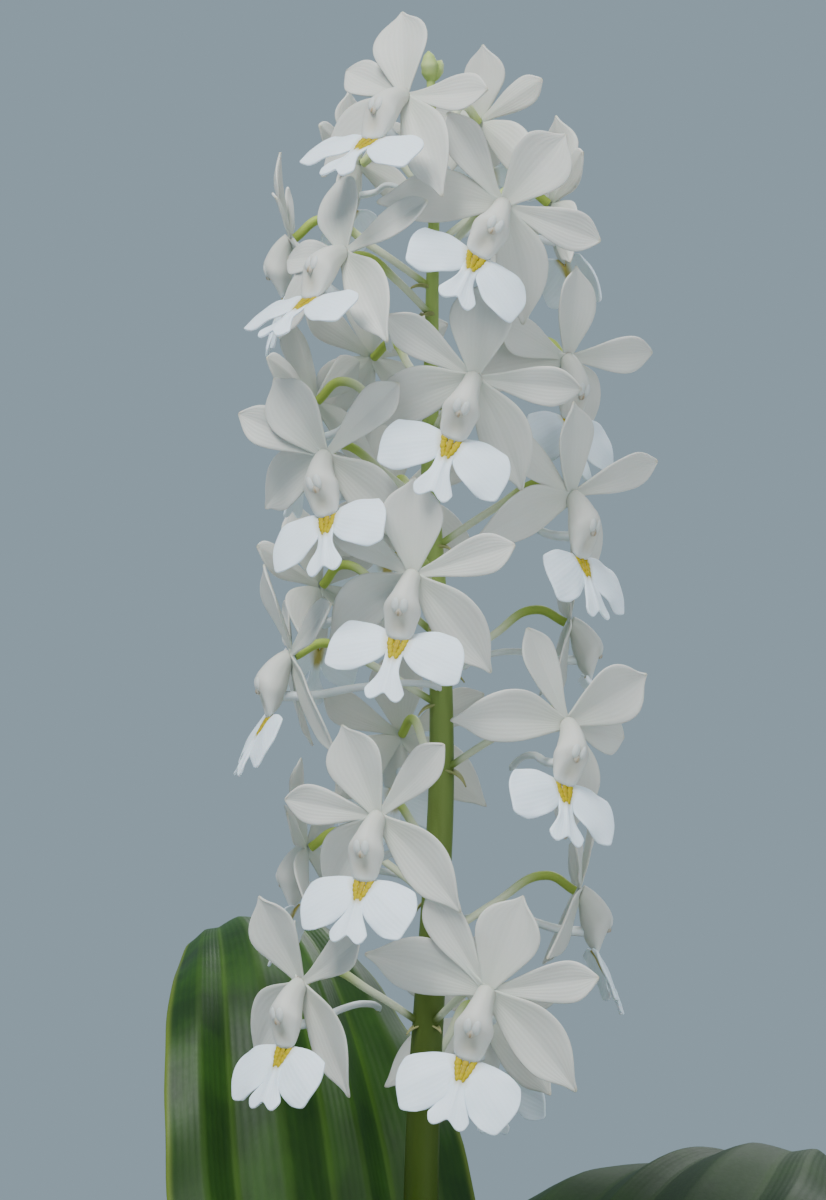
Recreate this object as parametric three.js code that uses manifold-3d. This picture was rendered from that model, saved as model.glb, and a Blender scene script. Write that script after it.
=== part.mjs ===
// A potted calanthe orchid: a plain clay pot filled with bark mix, a rooted crown, six pleated
// leaves and one tall flower stalk whose arched pedicels carry a dense spike of white, spurred
// blooms. Millimetres, +Z up, origin at the centre of the flat underside of the pot. Azimuths are
// degrees round the stalk: 0 is the front (-Y), 90 is the right (+X) and 180 is the back.
import * as THREE from "three";
import { mergeVertices } from "three/addons/utils/BufferGeometryUtils.js";
import Module from "manifold-3d";

const wasm = await Module();
wasm.setup();

// Driving dimensions
const GAP = 0.3;

// Steps and slivers under this size, left where solids are joined, are closed up.
const SEAM = 0.02;
const PETAL_THICKNESS = 0.7;
const LEAF_THICKNESS = 1.0;
const POT = {
  height: 128, topRadius: 77, footRadius: 54, wall: 4.5, floor: 6, rimHeight: 20, rimStep: 3.2, edge: 1.4,
};
const POT_SIDES = 24;
const DRAIN = { count: 4, radius: 5, circle: 27, sides: 8 };
const SOIL = { top: 112, mound: 4, ripple: 1.6, rings: [1, 0.72, 0.45, 0] };
const CROWN = { x: -3, sides: 10, socketTop: 160 };
const STALK = { bottom: 123, top: 539, sides: 8, segments: 15, points: 24 };

// A pedicel leaves the stalk at drop below its bloom, passes a raised point near its middle and an
// arch behind the bloom, and meets the bloom's neck square on.
const PEDICEL = {
  sides: 4, segments: 3, drop: 11, middle: 0.55, lift: 1.2, arch: 1.6, behind: 6.5, straight: 2.2,
  footRadius: 0.9, neckRadius: 1.45,
};
const APEX_BUDS = [
  { round: -20, length: 6.5, radius: 1.9, lean: 12 },
  { round: 120, length: 5.5, radius: 1.6, lean: 30 },
];
const APEX_BUD = { sunk: 1.5, bulge: [0.2, 0.93], sides: 5, segments: 3 };

// The crown's outline from its underground end up: [height, radius].
const CROWN_OUTLINE = [[92, 7], [99, 14], [110, 18], [122, 18], [136, 16], [146, 14.2]];

// The thick roots that leave the crown: azimuth, reach outwards and height of the end.
const ROOTS = [
  { round: 20, reach: 44, end: 46 },
  { round: 92, reach: 40, end: 30 },
  { round: 163, reach: 46, end: 52 },
  { round: -125, reach: 38, end: 26 },
  { round: -55, reach: 44, end: 40 },
];
const ROOT = { start: 104, sunk: 4, bow: [0.62, 0.3], radius: 2.6, tipRadius: 1.3, sides: 5, segments: 3 };

// The stalk's gentle bend, [height, sideways drift], and its taper, [height, radius].
const STALK_BEND = [
  [112, -3], [200, -2.6], [297, -1.5], [320, -0.9], [345, 0.6], [362, 1.7], [383, 2.8],
  [404, 3.0], [426, 1.9], [450, 0.4], [470, 0.6], [492, 0.9], [512, 1.3], [545, 0.4],
];
const STALK_TAPER = [[112, 4.3], [297, 3.8], [383, 2.8], [450, 1.95], [512, 1.15], [539, 0.9]];

// Every bloom of the spike, top to bottom: height of its centre, azimuth round the stalk, reach from
// the stalk, then how its face turns (yaw, as an azimuth), nods (pitch) and leans (roll), its size,
// how wide its lip lobes spread, and the side and length of its spur. Where a bloom stands open in a
// way of its own, turn and back give the clockwise angle and the backward lean of its upper sepal,
// right petal, lower right sepal, lower left sepal and left petal.
const BLOOMS = [
  { z: 531, round: -14, reach: 24, yaw: -37, pitch: -20, roll: 6, size: 1.0, lip: 70, side: 1, spur: 22,
    turn: [-20, 86, 137, -125, -71], back: [0, 4, 4, 8, 8] },
  { z: 531, round: 148, reach: 20, yaw: 148, pitch: 4, roll: 0, size: 0.82, lip: 70, side: 1, spur: 18 },
  { z: 521, round: -124, reach: 19, yaw: -124, pitch: 8, roll: 8, size: 0.78, lip: 52, side: 1, spur: 18 },
  { z: 513, round: 124, reach: 31, yaw: 116, pitch: 10, roll: 0, size: 0.95, lip: 62, side: -1, spur: 24 },
  { z: 508, round: 28, reach: 30, yaw: 8, pitch: 1, roll: 30, size: 1, lip: 60, side: 1, spur: 20,
    turn: [12, 78, 130, -112, -62], back: [4, 6, 14, 10, 0] },
  { z: 504, round: -99, reach: 31, yaw: -92, pitch: 17, roll: 9, size: 0.92, lip: 56, side: 1, spur: 18 },
  { z: 498, round: -37, reach: 31, yaw: -46, pitch: -20, roll: -1, size: 1, lip: 70, side: -1, spur: 24,
    turn: [-22, 60, 133, -120, -84], back: [0, 6, 6, 12, 10] },
  { z: 480, round: -156, reach: 32, yaw: -145, pitch: 5, roll: 0, size: 0.95, lip: 66, side: 1, spur: 22 },
  { z: 478, round: 93, reach: 29, yaw: 42, pitch: 15, roll: 6, size: 0.98, lip: 58, side: -1, spur: 24,
    turn: [-2, 75, 130, -108, -80], back: [8, -14, 10, 26, 0] },
  { z: 472, round: 17, reach: 30, yaw: -8, pitch: 10, roll: 19, size: 1, lip: 62, side: 1, spur: 24,
    turn: [-11, 78, 134, -124, -72], back: [10, 4, 8, 6, 2] },
  { z: 469, round: -106, reach: 26, yaw: -120, pitch: 16, roll: 0, size: 0.92, lip: 60, side: 1, spur: 22 },
  { z: 456, round: -45, reach: 31, yaw: -28, pitch: 4, roll: -15, size: 1, lip: 64, side: -1, spur: 24,
    turn: [-20, 63, 143, -96, -50], back: [-2, 6, 8, 24, 4] },
  { z: 449, round: -164, reach: 30, yaw: -164, pitch: 12, roll: 0, size: 0.95, lip: 66, side: -1, spur: 22 },
  { z: 448, round: 74, reach: 31, yaw: 50, pitch: 8, roll: 8, size: 1, lip: 56, side: 1, spur: 24,
    turn: [-18, 56, 128, -116, -66], back: [2, -20, 10, 16, 16] },
  { z: 429, round: -123, reach: 30, yaw: -132, pitch: 20, roll: 3, size: 0.95, lip: 62, side: 1, spur: 22 },
  { z: 431, round: -9, reach: 31, yaw: -16, pitch: 6, roll: 8, size: 1, lip: 72, side: -1, spur: 24,
    turn: [-5, 66, 130, -126, -65], back: [2, 8, 8, 12, 10] },
  { z: 421, round: 113, reach: 31, yaw: 92, pitch: 5, roll: 0, size: 0.95, lip: 60, side: 1, spur: 24 },
  { z: 414, round: -80, reach: 32, yaw: -78, pitch: 4, roll: 0, size: 1, lip: 56, side: 1, spur: 32,
    turn: [0, 60, 140, -136, -62], back: [-14, 16, 10, 12, 12] },
  { z: 400, round: 52, reach: 33, yaw: 30, pitch: 4, roll: 18, size: 1, lip: 60, side: 1, spur: 24,
    turn: [40, 84, 146, -100, -44], back: [-8, 26, 10, 6, 4] },
  { z: 396, round: -163, reach: 30, yaw: -160, pitch: 12, roll: 0, size: 0.95, lip: 66, side: 1, spur: 22 },
  { z: 381, round: -25, reach: 31, yaw: -25, pitch: 4, roll: 4, size: 1, lip: 52, side: 1, spur: 24,
    turn: [-26, 42, 128, -138, -86], back: [4, 2, 6, 16, 6] },
  { z: 372, round: -109, reach: 30, yaw: -104, pitch: 12, roll: 0, size: 0.96, lip: 58, side: -1, spur: 24 },
  { z: 363, round: 98, reach: 31, yaw: 92, pitch: 10, roll: 6, size: 1, lip: 60, side: 1, spur: 28 },
  { z: 345, round: -62, reach: 31, yaw: -42, pitch: 4, roll: 0, size: 1, lip: 48, side: -1, spur: 30,
    turn: [-24, 60, 146, -128, -56], back: [-6, 2, 4, 10, 40] },
  { z: 345, round: 21, reach: 32, yaw: -14, pitch: 8, roll: 14, size: 1.06, lip: 46, side: 1, spur: 24,
    turn: [8, 68, 119, -84, -44], back: [6, 4, 4, 8, 2] },
  { z: 333, round: 157, reach: 30, yaw: 157, pitch: 12, roll: 0, size: 1, lip: 66, side: -1, spur: 24 },
];

// Outlines of the blades of a bloom, as [share of the length, half width] from root to tip. The cup
// is how far the edges stand forward of the middle, per half width.
const DORSAL_SEPAL = { length: 20.5, root: 1.5, rows: [[0.3, 5.2], [0.62, 6.7], [0.86, 4.6]], cup: 0.16 };
const LATERAL_SEPAL = { length: 26, root: 1.5, rows: [[0.36, 5.6], [0.74, 4.9]], cup: 0.16 };
const PETAL = { length: 22.5, root: 0.9, rows: [[0.4, 2.9], [0.76, 4.3]], cup: 0.14 };
const SIDE_LOBE = { length: 15.5, root: 1.9, rows: [[0.36, 5.2], [0.78, 5.6]], cup: -0.06 };
const MID_LOBE = { length: 14.5, root: 1.4, rows: [[0.46, 1.5]], cup: -0.06 };
const FORK = {
  share: 0.8, half: 5, notch: 0.68, innerShare: 0.95, innerHalf: 1.7, tipHalf: 3.9, droop: 0.4,
};
const HUB_RADIUS = 2.1;

// Roots of neighbouring blades that are nearer than this share one point.
const NOTCH = 1.2;

// The column of a bloom as three rings, back to front: how far the front and the back of each stand
// forward of and above the middle of the bloom, and its half width. The last one ends in the lip.
const COLUMN = [
  { front: [0.1, 1.3], back: [0.1, -1.6], half: 1.7 },
  { front: [7.6, -4.4], back: [2.4, -8], half: 3.2 },
  { front: [6.45, -13.45], back: [5.6, -12.35], half: 1.35 },
];
const COLUMN_CHEEK = { share: 0.4, backHalf: 0.6 };

// The spur, from inside the column backwards below the bloom. The points of its middle line are
// [sideways as a share of the sweep, forward, up], and past the second one forward is a share of the
// spur's length.
const SPUR = { radius: 0.95, tipRadius: 0.7, sides: 3, segments: 3, sweep: 4.5, rise: 2.5 };
const SPUR_LINE = {
  root: [4.2, -8.2], leaving: [-3, -9.2], middle: [0.4, -0.45, -8.6], tip: [1, -0.95, -10.5],
};

// The sepals and petals in clockwise order from the top: outline, the angle at which each is rooted,
// its usual lean back at the root and at the tip, its sideways curve and the hook of its tip.
const TEPALS = [
  { form: DORSAL_SEPAL, angle: 0, lean: [4, -4], bend: 0, hook: -1.2 },
  { form: PETAL, angle: 64, lean: [8, 2], bend: 0, hook: 0 },
  { form: LATERAL_SEPAL, angle: 124, lean: [10, 6], bend: 0.12, hook: -1.2 },
  { form: LATERAL_SEPAL, angle: -124, lean: [10, 6], bend: -0.12, hook: -1.2 },
  { form: PETAL, angle: -64, lean: [8, 2], bend: 0, hook: 0 },
];

// How much sepals and petals differ in degrees from bloom to bloom, and the draw kept for the spur.
const VARY = { back: 5, angle: 4, tip: 10, twist: 10 };
const SPUR_DRAW = 30;

// Where the lip hinges in front of and below the middle of the bloom, how steeply it hangs, and how
// its side lobes and its middle lobe lean back at their root and tip.
const LIP = { forward: 5.8, below: 12.6, hang: 52, sideLean: [-4, 16], middleLean: [0, 8] };

// Leaves: azimuth and how far it veers along the leaf, length, greatest half width, how far each
// leans out at its foot and at its tip (degrees from upright), how late that change comes, and a
// turn of the blade about its length.
const LEAVES = [
  { round: -146, veer: -24, length: 280, half: 36, lean: [9, 168], late: 4, turn: 2 },
  { round: 140, veer: 14, length: 268, half: 46, lean: [15, 150], late: 2, turn: -9 },
  { round: 80, veer: 4, length: 288, half: 40, lean: [31, 128], late: 1.1, turn: 6 },
  { round: 22, veer: -6, length: 290, half: 39, lean: [36, 130], late: 1.1, turn: -4 },
  { round: -38, veer: -4, length: 310, half: 41, lean: [30, 134], late: 1.15, turn: -6 },
  { round: -94, veer: 5, length: 268, half: 37, lean: [37, 126], late: 1.1, turn: 4 },
];

// The outline of a leaf as [share of its length, share of its half width]. Its blade is pleated, its
// edges rise beside the middle at the foot and droop towards the tip, and they are waved.
const LEAF_OUTLINE = [
  [0, 0.09], [0.1, 0.15], [0.22, 0.46], [0.36, 0.86], [0.5, 1], [0.64, 0.9], [0.78, 0.6], [0.9, 0.3],
];
const LEAF = { columns: 8, pleat: 0.075, keel: [0.42, -0.42], wave: 2.4, waves: 19, steps: 32 };
const LEAF_FOOT = { circle: 9.6, bottom: 131, length: 18, sunk: 5, radius: 2.3, sides: 6 };

// Materials, one for each colour
const material = (color, roughness) => new THREE.MeshStandardMaterial({ color, roughness, metalness: 0 });
const CLAY = material(0xb0694a, 0.85);
const BARK = material(0x4a3424, 0.95);
const CROWN_GREEN = material(0x7f9a4e, 0.6);
const STALK_GREEN = material(0x74863a, 0.5);
const LEAF_GREEN = material(0x3a6a2c, 0.45);
const BLOOM_WHITE = material(0xf2f1ea, 0.5);

const radians = THREE.MathUtils.degToRad;
const mix = THREE.MathUtils.lerp;
const vec = (x, y, z) => new THREE.Vector3(x, y, z);
const sum = (...terms) =>
  terms.reduce((total, [v, scale]) => total.addScaledVector(v, scale), vec(0, 0, 0));

/** The same draw from -1 to 1 every time for one bloom and one use of it. */
function vary(index, use) {
  const wave = Math.sin(index * 12.9898 + use * 78.233) * 43758.5453;
  return (wave - Math.floor(wave)) * 2 - 1;
}

/** The value at a place in a list of [place, value] pairs, on straight lines between them. */
function along(pairs, place) {
  const last = pairs.length - 1;
  if (place <= pairs[0][0]) return pairs[0][1];
  if (place >= pairs[last][0]) return pairs[last][1];
  const k = pairs.findIndex(([at]) => at > place);
  return mix(pairs[k - 1][1], pairs[k][1], (place - pairs[k - 1][0]) / (pairs[k][0] - pairs[k - 1][0]));
}

/** The level direction at an azimuth. */
const outwards = (degrees) => vec(Math.sin(radians(degrees)), -Math.cos(radians(degrees)), 0);

/** A direction at an azimuth that leans out from upright by some degrees. */
const leaning = (azimuth, degrees) =>
  sum([outwards(azimuth), Math.sin(radians(degrees))], [vec(0, 0, 1), Math.cos(radians(degrees))]);

/** A solid from closed triangles over a list of points. */
function solidOf(points, triangles) {
  const vertProperties = new Float32Array(points.flatMap((p) => p.toArray()));
  const triVerts = new Uint32Array(triangles);
  return new wasm.Manifold(new wasm.Mesh({ numProp: 3, vertProperties, triVerts }));
}

/** A solid from one of the three.js geometries. */
function solidFrom(geometry) {
  geometry.deleteAttribute("normal");
  geometry.deleteAttribute("uv");
  const merged = mergeVertices(geometry, 1e-4);
  const vertProperties = merged.attributes.position.array;
  const triVerts = new Uint32Array(merged.index.array);
  return new wasm.Manifold(new wasm.Mesh({ numProp: 3, vertProperties, triVerts }));
}

/**
 * A thin solid over an open sheet of triangles, which are counterclockwise seen from its front.
 * Both faces have the same triangles, half the thickness to either side, and a rim joins them.
 */
function sheetSolid(points, triangles, thickness) {
  const normals = points.map(() => vec(0, 0, 0));
  const edges = new Map();
  for (const [a, b, c] of triangles) {
    const normal = points[b].clone().sub(points[a]).cross(points[c].clone().sub(points[a])).normalize();
    for (const k of [a, b, c]) normals[k].add(normal);
    for (const [from, to] of [[a, b], [b, c], [c, a]]) {
      if (!edges.delete(`${to},${from}`)) edges.set(`${from},${to}`, [from, to]);
    }
  }
  for (const normal of normals) normal.normalize();
  const shifted = (distance) => points.map((p, k) => p.clone().addScaledVector(normals[k], distance));
  const count = points.length;
  const faces = triangles.flatMap(([a, b, c]) => [a, b, c, a + count, c + count, b + count]);
  for (const [from, to] of edges.values()) {
    faces.push(to, from, from + count, to, from + count, to + count);
  }
  return solidOf([...shifted(thickness / 2), ...shifted(-thickness / 2)], faces);
}

/** A closed solid over rings of equally many points, counterclockwise seen from the last ring. */
function loft(rings) {
  const sides = rings[0].length;
  const triangles = [];
  for (let ring = 0; ring + 1 < rings.length; ring++) {
    for (let k = 0; k < sides; k++) {
      const [low, next] = [ring * sides + k, ring * sides + ((k + 1) % sides)];
      triangles.push(low, next, next + sides, low, next + sides, low + sides);
    }
  }
  const last = (rings.length - 1) * sides;
  for (let k = 1; k + 1 < sides; k++) triangles.push(0, k + 1, k, last, last + k, last + k + 1);
  return solidOf(rings.flat(), triangles);
}

/** An upright solid of rings round a vertical axis: outline is a list of [height, radius]. */
function turned(outline, x, sides, grow = 0) {
  const last = outline.length - 1;
  return loft(
    outline.map(([z, radius], ring) => {
      const height = z + (ring === 0 ? -grow : 0) + (ring === last ? grow : 0);
      return Array.from({ length: sides }, (_, k) => {
        const angle = (k / sides) * 2 * Math.PI;
        return vec(x + Math.cos(angle) * (radius + grow), Math.sin(angle) * (radius + grow), height);
      });
    }),
  );
}

/** A tapered stem along a smooth curve: radius is a function of the share of its length. */
function stem(points, radius, sides, segments) {
  const curve = new THREE.CatmullRomCurve3(points, false, "centripetal");
  const frames = curve.computeFrenetFrames(segments, false);
  const rings = Array.from({ length: segments + 1 }, (_, k) => {
    const centre = curve.getPointAt(k / segments);
    const reach = radius(k / segments);
    return Array.from({ length: sides }, (__, s) => {
      const turn = (s / sides) * 2 * Math.PI;
      const [across, over] = [Math.cos(turn) * reach, Math.sin(turn) * reach];
      return sum([centre, 1], [frames.normals[k], across], [frames.binormals[k], over]);
    });
  });
  return loft(rings);
}

/** A named mesh of a solid, with its seams closed up. */
function meshOf(made, name, look) {
  const { vertProperties, triVerts } = made.simplify(SEAM).getMesh();
  const geometry = new THREE.BufferGeometry();
  geometry.setAttribute("position", new THREE.BufferAttribute(vertProperties, 3));
  geometry.setIndex(new THREE.BufferAttribute(triVerts, 1));
  geometry.computeVertexNormals();
  const mesh = new THREE.Mesh(geometry, look);
  mesh.name = name;
  return mesh;
}

/** Where one bloom sits and which way it looks: its centre and its right, up and front directions. */
function poseOf(bloom) {
  const centre = outwards(bloom.round).multiplyScalar(bloom.reach);
  centre.x += along(STALK_BEND, bloom.z);
  centre.z = bloom.z;
  const turn = new THREE.Matrix4().makeRotationZ(radians(bloom.yaw))
    .multiply(new THREE.Matrix4().makeRotationX(radians(bloom.pitch)))
    .multiply(new THREE.Matrix4().makeRotationY(radians(bloom.roll)));
  const [right, front, up] = [vec(1, 0, 0), vec(0, -1, 0), vec(0, 0, 1)].map((v) => v.applyMatrix4(turn));
  return { centre, right, front, up };
}

/**
 * One blade of a star. It is rooted at a clockwise angle from up and goes out at another, tips back
 * by lean degrees at its root and at its tip, curves sideways by bend and turns about its length by
 * twist. Its place function gives the point at a share of the length, s right and f forwards.
 */
function blade(axes, form, { angle, rooted = angle, lean, bend = 0, twist = 0, size, hook = 0 }) {
  const ray = (degrees) =>
    sum([axes.up, Math.cos(radians(degrees))], [axes.right, Math.sin(radians(degrees))]);
  const [radial, side] = [ray(angle), ray(angle + 90)];
  const start = sum([axes.centre, 1], [radial, HUB_RADIUS * size]);
  const first = radians(lean[0]);
  const change = radians(lean[1] - lean[0]) || 1e-6;
  const reach = (form.length - HUB_RADIUS) * size;
  const place = (share, s, f) => {
    const tipped = first + change * share;
    const facing = sum([axes.front, Math.cos(tipped)], [radial, Math.sin(tipped)]);
    const turned = radians(twist * share);
    return sum(
      [start, 1],
      [radial, (reach * (Math.sin(tipped) - Math.sin(first))) / change],
      [axes.front, (reach * (Math.cos(tipped) - Math.cos(first))) / change],
      [side, bend * share * share * reach + s * size * Math.cos(turned)],
      [facing, s * size * Math.sin(turned) + f * size],
    );
  };
  const rows = form.rows.map(([share, half]) => [
    place(share, -half, form.cup * half),
    place(share, 0, 0),
    place(share, half, form.cup * half),
  ]);
  const root = [-1, 1].map((s) =>
    sum([axes.centre, 1], [ray(rooted), HUB_RADIUS * size], [ray(rooted + 90), s * form.root * size]));
  return { root, rows, end: [place(1, 0, hook)], place };
}

/**
 * A star of blades round a small hub, as points and triangles of one open sheet. Where the roots of
 * two neighbours nearly touch they share one point.
 */
function star(blades) {
  const points = [];
  const triangles = [];
  const add = (p) => points.push(p) - 1;
  const notches = blades.map(({ root }, k) => {
    const [here, next] = [root[1], blades[(k + 1) % blades.length].root[0]];
    if (here.distanceTo(next) > NOTCH) return [add(here), add(next)];
    const shared = add(here.clone().lerp(next, 0.5));
    return [shared, shared];
  });
  blades.forEach(({ rows, end }, k) => {
    const left = notches.at(k - 1)[1];
    const right = notches[k][0];
    let [l, m, r] = rows[0].map(add);
    triangles.push([left, right, m], [left, m, l], [right, r, m]);
    for (const row of rows.slice(1)) {
      const [nextL, nextM, nextR] = row.map(add);
      triangles.push([l, m, nextM], [l, nextM, nextL], [m, r, nextR], [m, nextR, nextM]);
      [l, m, r] = [nextL, nextM, nextR];
    }
    const tips = end.map(add);
    if (tips.length === 1) {
      triangles.push([l, m, tips[0]], [m, r, tips[0]]);
    } else {
      const [tipL, innerL, innerR, tipR] = tips;
      triangles.push([l, m, innerL], [l, innerL, tipL], [m, r, innerR], [r, tipR, innerR]);
    }
  });
  const ring = [...new Set(notches.flat())];
  for (let k = 1; k + 1 < ring.length; k++) triangles.push([ring[0], ring[k + 1], ring[k]]);
  return [points, triangles];
}

/** The three sepals and two petals of a bloom, joined at its middle. */
function perianth(axes, bloom, index) {
  const blades = TEPALS.map(({ form, angle, lean, bend, hook }, k) => {
    const draw = (use) => vary(index, 4 * k + use);
    const back = bloom.back ? bloom.back[k] - lean[0] : VARY.back * draw(1);
    return blade(axes, form, {
      angle: bloom.turn ? bloom.turn[k] : angle + VARY.angle * draw(2),
      rooted: angle,
      lean: [lean[0] + back, lean[1] + back + VARY.tip * draw(3)],
      twist: VARY.twist * draw(4),
      size: bloom.size,
      bend,
      hook,
    });
  });
  return sheetSolid(...star(blades), PETAL_THICKNESS);
}

/** The lip: two broad side lobes and a forked middle lobe, hanging forwards from its hinge. */
function lipSolid(axes, size, spread) {
  const hang = radians(LIP.hang);
  const centre = sum([axes.centre, 1], [axes.front, LIP.forward * size], [axes.up, -LIP.below * size]);
  const up = sum([axes.front, -Math.cos(hang)], [axes.up, Math.sin(hang)]);
  const front = sum([axes.front, Math.sin(hang)], [axes.up, Math.cos(hang)]);
  const plane = { centre, right: axes.right, up, front };
  const middle = blade(plane, MID_LOBE, { angle: 180, lean: LIP.middleLean, size });
  const { share, half, notch, innerShare, innerHalf, tipHalf, droop } = FORK;
  middle.rows.push([
    middle.place(share, -half, -droop),
    middle.place(notch, 0, droop),
    middle.place(share, half, -droop),
  ]);
  middle.end = [
    middle.place(1, -tipHalf, -droop),
    middle.place(innerShare, -innerHalf, 0),
    middle.place(innerShare, innerHalf, 0),
    middle.place(1, tipHalf, -droop),
  ];
  const sides = [180 - spread, 180 + spread].map((angle) =>
    blade(plane, SIDE_LOBE, { angle, lean: LIP.sideLean, size }));
  return sheetSolid(...star([sides[0], middle, sides[1]]), PETAL_THICKNESS);
}

/** The stout column with the claw of the lip behind it, from the neck at the back to the lip. */
function columnSolid(at) {
  const { share, backHalf } = COLUMN_CHEEK;
  const rings = COLUMN.map(({ front, back, half }) => {
    const cheek = [mix(front[0], back[0], share), mix(front[1], back[1], share)];
    return [
      at(0, ...front),
      at(-half, ...cheek),
      at(-half * backHalf, ...back),
      at(half * backHalf, ...back),
      at(half, ...cheek),
    ];
  });
  return loft(rings);
}

/** The thin spur of a bloom, swept to one side as it goes back. */
function spurSolid(at, bloom, index) {
  const sweep = bloom.side * SPUR.sweep;
  const { root, leaving, middle, tip } = SPUR_LINE;
  const points = [
    at(0, ...root),
    at(0, ...leaving),
    at(sweep * middle[0], bloom.spur * middle[1], middle[2]),
    at(sweep * tip[0], bloom.spur * tip[1], tip[2] + SPUR.rise * vary(index, SPUR_DRAW)),
  ];
  const radius = (share) => mix(SPUR.radius, SPUR.tipRadius, share) * bloom.size;
  return stem(points, radius, SPUR.sides, SPUR.segments);
}

/** One whole bloom: sepals, petals, column, lip and spur in one body. */
function bloomSolid(bloom, index) {
  const axes = poseOf(bloom);
  const { centre, right, front, up } = axes;
  const at = (r, f, u) =>
    sum([centre, 1], [right, r * bloom.size], [front, f * bloom.size], [up, u * bloom.size]);
  return wasm.Manifold.union([
    perianth(axes, bloom, index),
    lipSolid(axes, bloom.size, bloom.lip),
    columnSolid(at),
    spurSolid(at, bloom, index),
  ]);
}

/** One pedicel: up and out of the stalk, over, and down to the neck of its bloom. */
function pedicelSolid(bloom) {
  const { centre, front } = poseOf(bloom);
  const neck = sum([centre, 1], [front, -PETAL_THICKNESS / 2 - GAP]);
  const last = sum([neck, 1], [front, -PEDICEL.straight]);
  const behind = sum([centre, 1], [front, -PEDICEL.behind], [vec(0, 0, 1), PEDICEL.arch]);
  const footHeight = bloom.z - PEDICEL.drop;
  const foot = vec(along(STALK_BEND, footHeight), 0, footHeight);
  const half = foot.clone().lerp(behind, PEDICEL.middle);
  half.z += PEDICEL.lift;
  const radius = (share) => mix(PEDICEL.footRadius, PEDICEL.neckRadius, share);
  return stem([foot, half, behind, last, neck], radius, PEDICEL.sides, PEDICEL.segments);
}

/** The stalk with its pedicels and the last closed buds at its top. */
function stalkSolid() {
  const lift = (share) => mix(STALK.bottom, STALK.top, share);
  const points = Array.from({ length: STALK.points }, (_, k) => lift(k / (STALK.points - 1)))
    .map((z) => vec(along(STALK_BEND, z), 0, z));
  const pieces = [stem(points, (share) => along(STALK_TAPER, lift(share)), STALK.sides, STALK.segments)];
  const apex = points.at(-1);
  for (const bud of APEX_BUDS) {
    const foot = sum([apex, 1], [vec(0, 0, 1), -APEX_BUD.sunk]);
    const tip = sum([foot, 1], [leaning(bud.round, bud.lean), bud.length]);
    const radius = (share) => bud.radius * Math.sin(Math.PI * mix(...APEX_BUD.bulge, share));
    pieces.push(stem([foot, tip], radius, APEX_BUD.sides, APEX_BUD.segments));
  }
  for (const bloom of BLOOMS) pieces.push(pedicelSolid(bloom));
  return wasm.Manifold.union(pieces);
}

/** The middle of a leaf's foot in the crown and the direction in which it leaves. */
function leafFoot(leaf) {
  const foot = sum([outwards(leaf.round), LEAF_FOOT.circle], [vec(CROWN.x, 0, LEAF_FOOT.bottom), 1]);
  return { foot, way: leaning(leaf.round, leaf.lean[0]) };
}

/** The round foot of a leaf, or with grow the plain hole that it stands in. */
function leafPeg(leaf, grow = 0) {
  const { foot, way } = leafFoot(leaf);
  const ends = [sum([foot, 1], [way, -grow]), sum([foot, 1], [way, LEAF_FOOT.length + LEAF_FOOT.sunk])];
  return stem(ends, () => LEAF_FOOT.radius + grow, LEAF_FOOT.sides, 1);
}

/** One leaf: a pleated blade with a waved edge that arches over, on its round foot. */
function leafSolid(leaf) {
  const { foot, way } = leafFoot(leaf);
  const leanAt = (share) => mix(leaf.lean[0], leaf.lean[1], share ** leaf.late);
  const roundAt = (share) => leaf.round + leaf.veer * share;
  const spineAt = (share) => {
    const spine = sum([foot, 1], [way, LEAF_FOOT.length]);
    for (let k = 0; k < LEAF.steps; k++) {
      const passed = (share * (k + 0.5)) / LEAF.steps;
      spine.addScaledVector(leaning(roundAt(passed), leanAt(passed)), (share * leaf.length) / LEAF.steps);
    }
    return spine;
  };
  const count = LEAF.columns + 1;
  const points = [];
  const triangles = [];
  LEAF_OUTLINE.forEach(([share, width], row) => {
    const spine = spineAt(share);
    const side = outwards(roundAt(share) + 90);
    const upper = leaning(roundAt(share), leanAt(share) - 90);
    const turned = radians(leaf.turn * share);
    const across = sum([side, Math.cos(turned)], [upper, Math.sin(turned)]);
    const facing = sum([upper, Math.cos(turned)], [side, -Math.sin(turned)]);
    const half = width * leaf.half;
    for (let c = 0; c < count; c++) {
      const s = (c / LEAF.columns) * 2 - 1;
      const pleat = (c % 2 ? 1 : -1) * LEAF.pleat * half;
      const wave = LEAF.wave * Math.abs(s) * Math.sin(share * LEAF.waves + 2 * s) * Math.min(1, 2 * share);
      const keel = mix(...LEAF.keel, share) * half * s * s;
      points.push(sum([spine, 1], [across, s * half], [facing, keel + pleat + wave]));
    }
    for (let c = 0; row > 0 && c + 1 < count; c++) {
      const [low, high] = [(row - 1) * count + c, row * count + c];
      triangles.push([low, low + 1, high + 1], [low, high + 1, high]);
    }
  });
  const tip = points.push(spineAt(1)) - 1;
  for (let c = 1; c < count; c++) triangles.push([tip - count + c - 1, tip - count + c, tip]);
  return sheetSolid(points, triangles, LEAF_THICKNESS).add(leafPeg(leaf));
}

/** The thick roots under the crown, or with grow the channels that they lie in. */
function rootSolids(grow = 0) {
  return ROOTS.map((root) => {
    const out = outwards(root.round);
    const axis = vec(CROWN.x, 0, 0);
    const lineAt = (reach, height) => sum([axis, 1], [out, reach], [vec(0, 0, 1), height]);
    const points = [
      lineAt(ROOT.sunk, ROOT.start),
      lineAt(root.reach * ROOT.bow[0], mix(ROOT.start, root.end, ROOT.bow[1])),
      lineAt(root.reach + grow, root.end - grow),
    ];
    const radius = (share) => mix(ROOT.radius, ROOT.tipRadius, share) + grow;
    return stem(points, radius, ROOT.sides, ROOT.segments);
  });
}

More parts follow.
